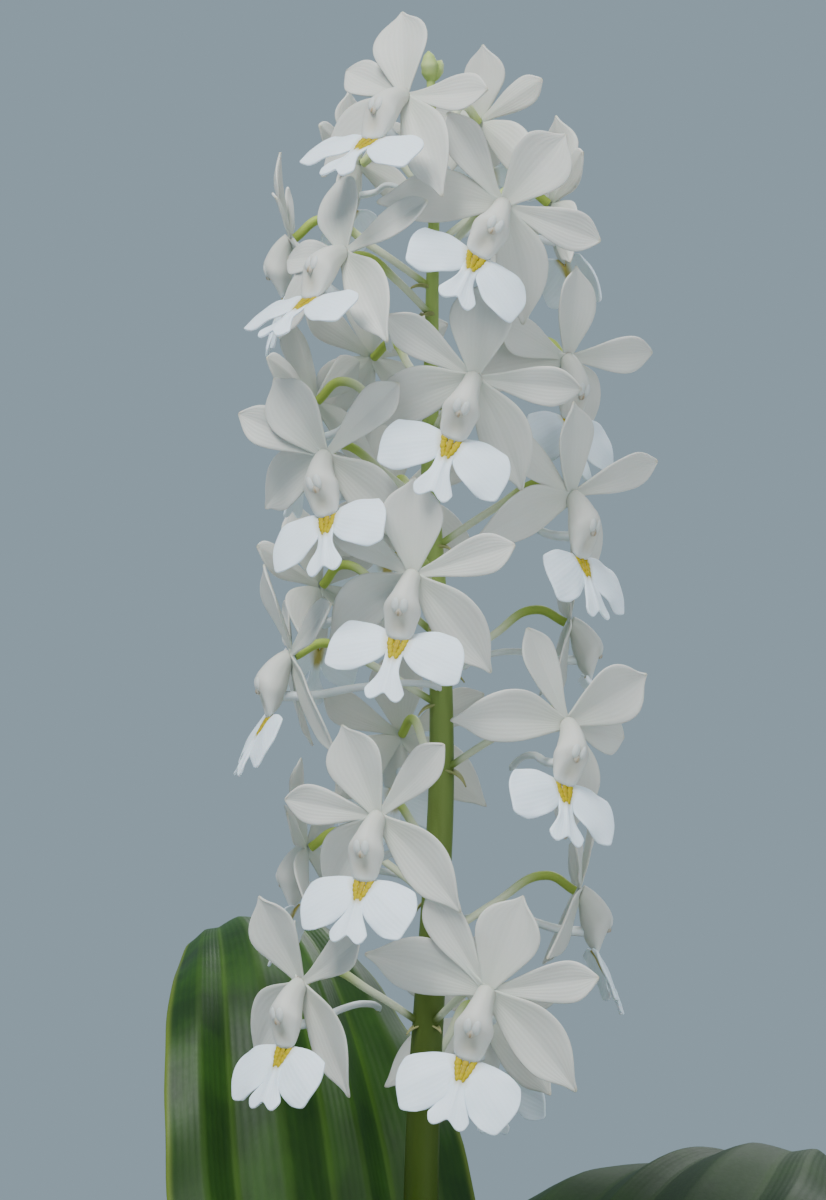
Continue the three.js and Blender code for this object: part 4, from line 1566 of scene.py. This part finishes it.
ROOT = -0.1
DORSAL = BladeForm(
    20.5, **even(((ROOT, 1.2), (0, 1.9), (0.1, 3.0), (0.27, 4.7), (0.45, 6.3), (0.62, 6.7), (0.75, 5.8),
                  (0.84, 4.2), (0.895, 2.4), (0.93, 1.1), (0.965, 0.6), (1, 0))), cup=0.2)
PETAL = BladeForm(
    22.5, **even(((ROOT, 0.8), (0, 1.0), (0.2, 2.0), (0.4, 3.3), (0.58, 4.15), (0.7, 4.35), (0.82, 3.7),
                  (0.91, 2.2), (0.96, 1.1), (1, 0))), cup=0.16)
OUTER_EDGE = ((ROOT, 1.2), (0, 1.9), (0.15, 4.0), (0.3, 5.8), (0.45, 6.5), (0.6, 6.2), (0.75, 4.7),
              (0.85, 2.9), (0.91, 1.5), (0.95, 0.9), (0.98, 0.55), (1, 0))
INNER_EDGE = ((ROOT, 1.2), (0, 1.8), (0.2, 3.6), (0.4, 4.9), (0.55, 5.0), (0.7, 4.3), (0.82, 2.6),
              (0.9, 1.3), (0.95, 0.75), (0.98, 0.5), (1, 0))
LATERAL_RIGHT = BladeForm(26.0, left=OUTER_EDGE, right=INNER_EDGE, cup=0.18, rows=15)
LATERAL_LEFT = replace(LATERAL_RIGHT, left=INNER_EDGE, right=OUTER_EDGE)
LOBE_UPPER = ((ROOT, 1.4), (0, 2.2), (0.15, 3.6), (0.35, 4.9), (0.55, 5.5), (0.8, 5.6), (1.08, 4.9))
LOBE_LOWER = ((ROOT, 1.4), (0, 2.6), (0.12, 4.0), (0.3, 5.2), (0.5, 5.8), (0.7, 5.9), (0.9, 5.5),
              (1.08, 4.8))
LOBE_END = ((-1, 0.66), (-0.85, 0.78), (-0.6, 0.9), (-0.3, 0.97), (0, 1.01), (0.3, 1.04), (0.6, 1.07),
            (0.8, 1.07), (0.92, 1.01), (1, 0.86))
LOBE_RIGHT = BladeForm(15.0, left=LOBE_UPPER, right=LOBE_LOWER, cup=-0.1, end=LOBE_END, groove=-0.15,
                       wave=0.5, columns=12)
LOBE_LEFT = replace(LOBE_RIGHT, left=LOBE_LOWER, right=LOBE_UPPER, end=mirrored(LOBE_END))
FORK_END = ((0, 0.86), (0.2, 0.92), (0.45, 1.0), (0.7, 1.0), (0.88, 0.93), (1, 0.82))
MID_LOBE = BladeForm(
    14.3, **even(((ROOT, 1.6), (0, 1.9), (0.25, 1.8), (0.4, 1.9), (0.55, 2.5), (0.7, 3.5), (0.85, 4.4),
                  (1, 4.6))),
    cup=-0.06, end=mirrored(FORK_END[1:]) + FORK_END, groove=-0.35, wave=0.4, rows=16, columns=12)

# Each sepal or petal as it mostly stands, clockwise from the upper sepal.
TEPALS = (
    (DORSAL, Posture(0, (4, -4), hook=-1.2)),
    (PETAL, Posture(64, (8, 2))),
    (LATERAL_RIGHT, Posture(124, (10, 6), bend=0.12, hook=-1.2)),
    (LATERAL_LEFT, Posture(-124, (10, 6), bend=-0.12, hook=-1.2)),
    (PETAL, Posture(-64, (8, 2))),
)


class BladeShop:
    """Keeps one flat model of each kind of blade and bends copies of it into their places."""

    TIP_CROWDING = 1.35
    CUP_POWER = 1.6
    GROOVE_WIDTH = 0.16
    WAVES = 9.0
    WAVE_SKEW = 1.5
    NO_BEND = 1e-6

    def __init__(self) -> None:
        """Starts with no models."""
        self.models: dict[tuple[int, int], bpy.types.Object] = {}

    def model(self, form: BladeForm) -> bpy.types.Object:
        """The flat sheet that a form's blades are bent from.

        Args:
            form: the form of the blade.
        Returns:
            The sheet, made when it is first asked for.
        """
        key = (form.columns, form.rows)
        if key not in self.models:
            self.models[key] = Bench.grid("blade_model", *key)
        return self.models[key]

    def relief(self, form: BladeForm, stand: Posture, s: np.ndarray, share: np.ndarray,
               phase: float) -> np.ndarray:
        """How far a blade's points stand forward of its middle surface.

        Args:
            form: the form of the blade.
            stand: how the blade stands.
            s: the points' places across the blade, from -1 to 1.
            share: their shares of the length.
            phase: where the waves of its edge begin.
        Returns:
            One distance for each point.
        """
        half = (smooth(form.left, share) + smooth(form.right, share)) / 2
        cup = form.cup * half * np.abs(s) ** self.CUP_POWER
        groove = form.groove * hump(0, self.GROOVE_WIDTH, s) * rise(0, 0.3, share) * (1 - rise(0.8, 1, share))
        turns = np.sin(self.WAVES * share + phase + self.WAVE_SKEW * s)
        wave = form.wave * turns * np.abs(s) ** 3 * rise(0.1, 0.5, share)
        return cup - groove + wave + stand.hook * share**4

    def bend(self, form: BladeForm, axes: Axes, stand: Posture, size: float,
             phase: float) -> bpy.types.Object:
        """One blade in its place.

        Args:
            form: its form.
            axes: the middle of the bloom or of its lip.
            stand: how the blade stands there.
            size: the size of the bloom.
            phase: where the waves of its edge begin.
        Returns:
            The sheet, still without thickness.
        """
        blade = Bench.copy(self.model(form), "blade")
        s, v = Bench.sheet_places(blade)
        share = (ROOT + (1 - ROOT) * (1 - (1 - v) ** self.TIP_CROWDING)) * smooth(form.end, s)
        off = s * np.where(s < 0, smooth(form.left, share), smooth(form.right, share)) * size
        forward = self.relief(form, stand, s, share, phase) * size
        first = math.radians(stand.lean[0])
        change = math.radians(stand.lean[1] - stand.lean[0]) or self.NO_BEND
        tipped = first + change * share
        radial, side = axes.ray(stand.angle), axes.ray(stand.angle + 90)
        facing = axes.front * np.cos(tipped)[:, None] + radial * np.sin(tipped)[:, None]
        reach = (form.length - HUB_RADIUS) * size
        out = HUB_RADIUS * size + reach * (np.sin(tipped) - math.sin(first)) / change
        ahead = reach * (np.cos(tipped) - math.cos(first)) / change
        turned = np.radians(stand.twist * share)
        sideways = stand.bend * share * np.abs(share) * reach + off * np.cos(turned)
        lifted = off * np.sin(turned) + forward
        points = (axes.centre + radial * out[:, None] + axes.front * ahead[:, None]
                  + side * sideways[:, None] + facing * lifted[:, None])
        Bench.shape(blade, points)
        return blade

    def clear(self) -> None:
        """Removes the flat models."""
        for model in self.models.values():
            bpy.data.objects.remove(model)
        self.models.clear()


@dataclass(frozen=True)
class Lump:
    """A small rounded lump: its middle and half sizes, right, forward and up, its paint and fineness."""

    place: Triple
    reach: Triple
    paint: Triple
    rings: int = 8


@dataclass
class Bloom(Assembly):
    """One bloom: three sepals, two petals, the column, the three-lobed lip and the spur.

    A row of the column holds a share of its length, the forward and up of its front there, the
    forward and up of its back, and its half width. A row of the spur holds its share of the sweep
    and of the length, its forward and up, its share of the lift, and its radius. What stands "at"
    a place is a hump along the column, with the share of its middle and its width.
    """

    node: str
    stance: Stance
    index: int
    shop: BladeShop
    slot: Slot = Slot.BLOOM
    thickness: float = 0.55
    seam: float = 0.02
    tepal_spread: Sequence[float] = (5, 4, 10, 10)
    wave_spread: float = 3.0
    lip_forward: float = 5.8
    lip_below: float = 12.6
    lip_hang: float = 52.0
    lobe_spread: float = 4.0
    lobe_lean: tuple[float, float] = (-4, 16)
    mid_lean: tuple[float, float] = (0, 8)
    glow: float = 0.9
    glow_half: float = 2.1
    glow_narrowing: float = 0.24
    glow_least: float = 0.6
    glow_edge: tuple[float, float] = (0.7, 1.6)
    glow_end: tuple[float, float] = (-6.4, -3.9)
    callus: Sequence[float] = (1.35, 1.5, 1.45, 1.25, 0.95, 0.6)
    callus_top: float = 0.9
    callus_height: float = 0.3
    side_fall: tuple[float, float] = (0.08, 0.25)
    wart: float = 0.85
    wart_height: float = 0.24
    wart_step: float = 0.95
    wart_shrink: float = 0.07
    wart_spread: float = 0.08
    wart_tone: float = 0.24
    wart_draws: int = 3
    closing: float = 30.0
    cheek: float = 0.16
    cheek_at: tuple[float, float] = (0.6, 0.12)
    hollow_at: tuple[float, float] = (0.82, 0.09)
    hollow_half: float = 0.5
    hollow_shade: tuple[float, float] = (0.12, 0.1)
    # how much of the sepal colour, cream with painted shade, the column takes along its length
    cream_and_shade: tuple[float, float] = (0.95, 0.75)
    tan: float = 0.22
    tan_at: tuple[float, float] = (0.66, 0.06)
    tan_base: float = 0.07
    anther: Sequence[Lump] = (
        Lump((-0.8, 7.75, -5.3), (1.05, 0.75, 1.6), (0.04, 0.5, 0.2)),
        Lump((0.8, 7.75, -5.3), (1.05, 0.75, 1.6), (0.04, 0.5, 0.2)),
        Lump((0, 7.85, -6.7), (0.9, 0.5, 1.0), (0.12, 0.5, 0.5)),
        Lump((0, 8.08, -6.95), (0.34, 0.42, 0.6), (0.06, 0.5, 0.78), 6),
    )
    column: Sequence[tuple[float, ...]] = (
        (0.0, 0.6, 1.8, 0.1, -1.9, 1.9),
        (0.2, 3.3, 0.7, 0.8, -3.8, 2.1),
        (0.42, 6.4, -1.6, 1.5, -6.4, 2.8),
        (0.58, 8.2, -4.0, 2.3, -8.2, 3.4),
        (0.74, 8.0, -7.2, 3.3, -10.2, 3.4),
        (0.86, 7.2, -10.4, 4.4, -11.4, 3.1),
        (0.95, 6.6, -12.4, 5.2, -12.0, 2.4),
        (1.0, 6.4, -13.4, 5.6, -12.4, 1.3),
    )
    spur_sweep: float = 4.5
    spur_lift: float = 2.5
    spur_route: Sequence[tuple[float, ...]] = (
        (0.0, 0.0, 4.2, -8.2, 0.0, 1.15),
        (0.0, 0.0, -3.0, -8.7, 0.0, 0.95),
        (0.35, 0.45, 0.0, -7.6, 0.0, 0.8),
        (0.8, 0.8, 0.0, -9.0, 0.6, 0.72),
        (1.02, 0.95, 0.0, -11.2, 1.0, 0.8),
        (1.03, 0.95, -0.5, -11.9, 1.0, 0.25),
    )

    def tepals(self, axes: Axes) -> list[bpy.types.Object]:
        """The sepals and petals.

        Args:
            axes: the middle of the bloom.
        Returns:
            One sheet each.
        """
        made = []
        for k, (form, usual) in enumerate(TEPALS):
            draws = [vary(self.index, Draw.TEPAL, 4 * k + step) for step in range(4)]
            back, turn, tip, twist = (draw * spread for draw, spread in zip(draws, self.tepal_spread))
            if self.stance.back:
                back = self.stance.back[k] - usual.lean[0]
            turn = self.stance.turn[k] if self.stance.turn else usual.angle + turn
            lean = (usual.lean[0] + back, usual.lean[1] + back + tip)
            stand = replace(usual, angle=turn, lean=lean, twist=twist)
            phase = self.wave_spread * vary(self.index, Draw.TEPAL_WAVE, k)
            blade = self.shop.bend(form, axes, stand, self.stance.size, phase)
            # green: the sepal colour on every tepal, cream greyed with painted shade
            Bench.paint(blade, green=1.0)
            made.append(blade)
        return made

    def lip_axes(self, axes: Axes) -> Axes:
        """The lip's own directions at its hinge.

        Args:
            axes: the middle of the bloom.
        Returns:
            The hinge, with up towards the column and front off the lip's face.
        """
        hang, size = math.radians(self.lip_hang), self.stance.size
        centre = axes.at(0, self.lip_forward * size, -self.lip_below * size)
        up = axes.up * math.sin(hang) - axes.front * math.cos(hang)
        front = axes.front * math.sin(hang) + axes.up * math.cos(hang)
        return Axes(centre, axes.right, front, up)

    def lip(self, axes: Axes) -> list[bpy.types.Object]:
        """The lobes of the lip, with a yellow glow round the callus.

        Args:
            axes: the middle of the bloom.
        Returns:
            One sheet each.
        """
        plane = self.lip_axes(axes)
        size = self.stance.size
        turn = self.stance.lip + self.lobe_spread
        lobes = [
            (LOBE_RIGHT, Posture(180 - turn, self.lobe_lean)),
            (MID_LOBE, Posture(180, self.mid_lean)),
            (LOBE_LEFT, Posture(180 + turn, self.lobe_lean)),
        ]
        made = []
        for k, (form, stand) in enumerate(lobes):
            phase = self.wave_spread * vary(self.index, Draw.LOBE_WAVE, k)
            blade = self.shop.bend(form, plane, stand, size, phase)
            near = (Bench.points(blade) / MM - plane.centre) / size
            high = near @ plane.up
            wide = np.clip(self.glow_half + self.glow_narrowing * high, self.glow_least, self.glow_half)
            aside = rise(*self.glow_edge, np.abs(near @ plane.right) / wide)
            Bench.paint(blade, red=self.glow * (1 - aside) * rise(*self.glow_end, high))
            made.append(blade)
        return made

    def column_body(self, axes: Axes) -> bpy.types.Object:
        """The stout column with the claw of the lip behind it.

        Args:
            axes: the middle of the bloom.
        Returns:
            The closed column.
        """
        sleeve = Bench.grid("column", 32, 28)
        s, u = Bench.sheet_places(sleeve)
        angle = s * math.pi
        shares, *edges = np.array(self.column).T
        front_f, front_u, back_f, back_u, half = (smooth(list(zip(shares, edge)), u) for edge in edges)
        close = np.clip(np.minimum(u, 1 - u) * self.closing, 0, 1) ** 0.5
        cheek = 1 + self.cheek * hump(*self.cheek_at, u) * np.abs(np.sin(angle)) ** 3
        hollow = hump(0, self.hollow_half, angle) * hump(*self.hollow_at, u)
        f = (front_f + back_f) / 2 + (front_f - back_f) / 2 * np.cos(angle) * close - hollow
        h = (front_u + back_u) / 2 + (front_u - back_u) / 2 * np.cos(angle) * close
        w = half * np.sin(angle) * close * cheek
        size = self.stance.size
        Bench.shape(sleeve, axes.at(w * size, f * size, h * size))
        tan = self.tan_base + self.tan * hump(*self.tan_at, u) * np.clip(np.cos(angle), 0, 1) ** 3
        cream_and_shade = self.cream_and_shade[0] - self.cream_and_shade[1] * rise(0.86, 1, u)
        yellow, brown = (shade * hollow for shade in self.hollow_shade)
        Bench.paint(sleeve, red=yellow, green=cream_and_shade, blue=tan + brown)
        Bench.merge(sleeve)
        return sleeve

    def ball(self, axes: Axes, lump: Lump) -> bpy.types.Object:
        """A small rounded lump.

        Args:
            axes: the directions that it is placed in.
            lump: its place, size and paint.
        Returns:
            The lump.
        """
        Bench.pick()
        bpy.ops.mesh.primitive_uv_sphere_add(segments=lump.rings + 4, ring_count=lump.rings, radius=1.0)
        made = bpy.context.object
        local = (Bench.points(made) * np.array(lump.reach) + np.array(lump.place)) * self.stance.size
        Bench.shape(made, axes.at(*local.T))
        Bench.paint(made, *lump.paint)
        return made

    def warts(self) -> list[Lump]:
        """The three rows of warts of the callus at the root of the lip.

        Returns:
            The warts, placed in the lip's own directions.
        """
        warts = []
        lower, further = self.side_fall
        for row, wide in enumerate(self.callus):
            for side in (-1, 0, 1):
                forward = self.callus_height - lower * abs(side)
                up = self.callus_top - self.wart_step * row - further * abs(side)
                spot = (side * wide, forward, up)
                draw = self.wart_spread * vary(self.index + self.wart_draws, Draw.WART, row * 3 + side)
                tone = self.wart_tone if side == 0 and row in (2, 3, 4) else 0.0
                reach = (self.wart + draw - self.wart_shrink * row, self.wart_height + draw, self.wart)
                warts.append(Lump(spot, reach, (1.0, 0.0, tone), 6))
        return warts

    def trim(self, axes: Axes) -> list[bpy.types.Object]:
        """The anther cap with its two pollen masses, and the warty callus.

        Args:
            axes: the middle of the bloom.
        Returns:
            One mesh for each lump.
        """
        places = [(axes, lump) for lump in self.anther]
        places += [(self.lip_axes(axes), wart) for wart in self.warts()]
        return [self.ball(*place) for place in places]

    def spur(self, axes: Axes) -> bpy.types.Object:
        """The thin spur behind the lip.

        Args:
            axes: the middle of the bloom.
        Returns:
            The spur.
        """
        size, length = self.stance.size, self.stance.spur * self.stance.size
        sweep = self.stance.side.value * self.spur_sweep * size
        lift = self.spur_lift * vary(self.index, Draw.SPUR)
        points, radii = [], []
        for aside, back, ahead, high, lifted, radius in self.spur_route:
            points.append(axes.at(sweep * aside, ahead * size - length * back, (lift * lifted + high) * size))
            radii.append(radius * size)
        spur = Bench.stems("spur", [Stem(points, radii, 7)], 2)
        Bench.paint(spur, green=0.5)
        return spur

    def build(self) -> bpy.types.Object:
        """Joins all of the bloom's parts in one mesh.

        Returns:
            The bloom.
        """
        axes = self.stance.axes()
        sheet = Bench.join([*self.tepals(axes), *self.lip(axes)], "sheet")
        Bench.merge(sheet, self.seam)
        Bench.fix(sheet, "SOLIDIFY", thickness=self.thickness * MM, offset=0.0)
        Bench.fix(sheet, "SUBSURF", levels=1, render_levels=1)
        bloom = Bench.join([sheet, self.column_body(axes), *self.trim(axes), self.spur(axes)], self.node)
        Bench.smooth_faces(bloom)
        return bloom


@dataclass(frozen=True)
class Lamp:
    """A soft square light: its place, the place it aims at, its width and its power in watts."""

    place: Triple
    aim: Triple
    width: float
    power: float


@dataclass
class Studio:
    """The pale floor, the soft lights and the camera at the photograph's viewing angle.

    The floor fades into the backdrop's colour between two distances in metres.
    """

    camera_place: Triple = (-3.225, -800.0, 426.0)
    frame_height: float = 258.0
    sensor: float = 36.0
    nearest: float = 10.0
    backdrop: Colour = (0.27, 0.36, 0.42)
    floor_radius: float = 9000.0
    floor_sides: int = 96
    floor_colour: Colour = (0.74, 0.78, 0.81)
    floor_roughness: float = 0.8
    fade: tuple[float, float] = (0.35, 1.5)
    lamps: Sequence[Lamp] = (
        Lamp((-520, -820, 1900), (0, 0, 380), 750, 46),
        Lamp((900, -1300, 700), (0, 0, 380), 1400, 12),
        Lamp((500, 1300, 1300), (0, 0, 420), 900, 13),
    )

    def floor(self) -> None:
        """A wide floor that fades into the backdrop's colour far from the plant."""
        Bench.pick()
        bpy.ops.mesh.primitive_circle_add(
            vertices=self.floor_sides, radius=self.floor_radius * MM, fill_type="NGON")
        floor = bpy.context.object
        floor.name = "floor"
        tree = ShaderTree("floor_paper")
        tree.feed(tree.shader.inputs["Base Color"], self.floor_colour)
        tree.feed(tree.shader.inputs["Roughness"], self.floor_roughness)
        paper = Wire(tree, tree.shader.outputs[0])
        away = tree.node("ShaderNodeVectorMath", {"operation": "LENGTH"}, [tree.place()], "Value")
        glow = tree.node("ShaderNodeEmission", {}, {"Color": self.backdrop})
        mixed = tree.node("ShaderNodeMixShader", {}, [away.step(*self.fade), paper, glow])
        tree.feed(tree.nodes["Material Output"].inputs["Surface"], mixed)
        floor.data.materials.append(tree.material)

    def light(self, lamp: Lamp) -> None:
        """Hangs one light.

        Args:
            lamp: its place, aim, width and power.
        """
        Bench.pick()
        bpy.ops.object.light_add(type="AREA", location=Vector(lamp.place) * MM)
        made = bpy.context.object
        made.data.size = lamp.width * MM
        made.data.energy = lamp.power
        direction = Vector(lamp.aim) - Vector(lamp.place)
        made.rotation_euler = direction.to_track_quat("-Z", "Y").to_euler()
        made.visible_camera = False

    def camera(self) -> None:
        """The camera, level, with the photograph's field of view."""
        Bench.pick()
        level = (math.pi / 2, 0, 0)
        bpy.ops.object.camera_add(location=Vector(self.camera_place) * MM, rotation=level)
        camera = bpy.context.object
        camera.data.sensor_width = self.sensor
        camera.data.lens = self.sensor * -self.camera_place[1] / self.frame_height
        camera.data.clip_start = self.nearest * MM
        bpy.context.scene.camera = camera

    def air(self) -> None:
        """The even light from all round, in the backdrop's colour."""
        world = bpy.data.worlds.new("studio_air")
        world.use_nodes = True
        background = world.node_tree.nodes["Background"]
        background.inputs["Color"].default_value = (*self.backdrop, 1.0)
        background.inputs["Strength"].default_value = 1.0
        bpy.context.scene.world = world

    def build(self) -> None:
        """Sets up the whole studio."""
        self.floor()
        for lamp in self.lamps:
            self.light(lamp)
        self.camera()
        self.air()


def main() -> None:
    """Builds the sub-assemblies in order and sets up the studio."""
    logging.basicConfig(level=logging.INFO, format="%(message)s")
    shelf = FinishShelf()
    shop = BladeShop()
    blooms = [Bloom(f"bloom_{k + 1:02d}", stance, k, shop) for k, stance in enumerate(STANCES)]
    for assembly in [ClayPot(), BarkMix(), Crown(), FlowerStalk(), *LEAVES, *blooms]:
        piece = assembly.build()
        assembly.dress(piece, shelf)
        LOG.info("%s: %d faces", piece.name, len(piece.data.polygons))
    shop.clear()
    Studio().build()


if __name__ == "__main__":
    main()
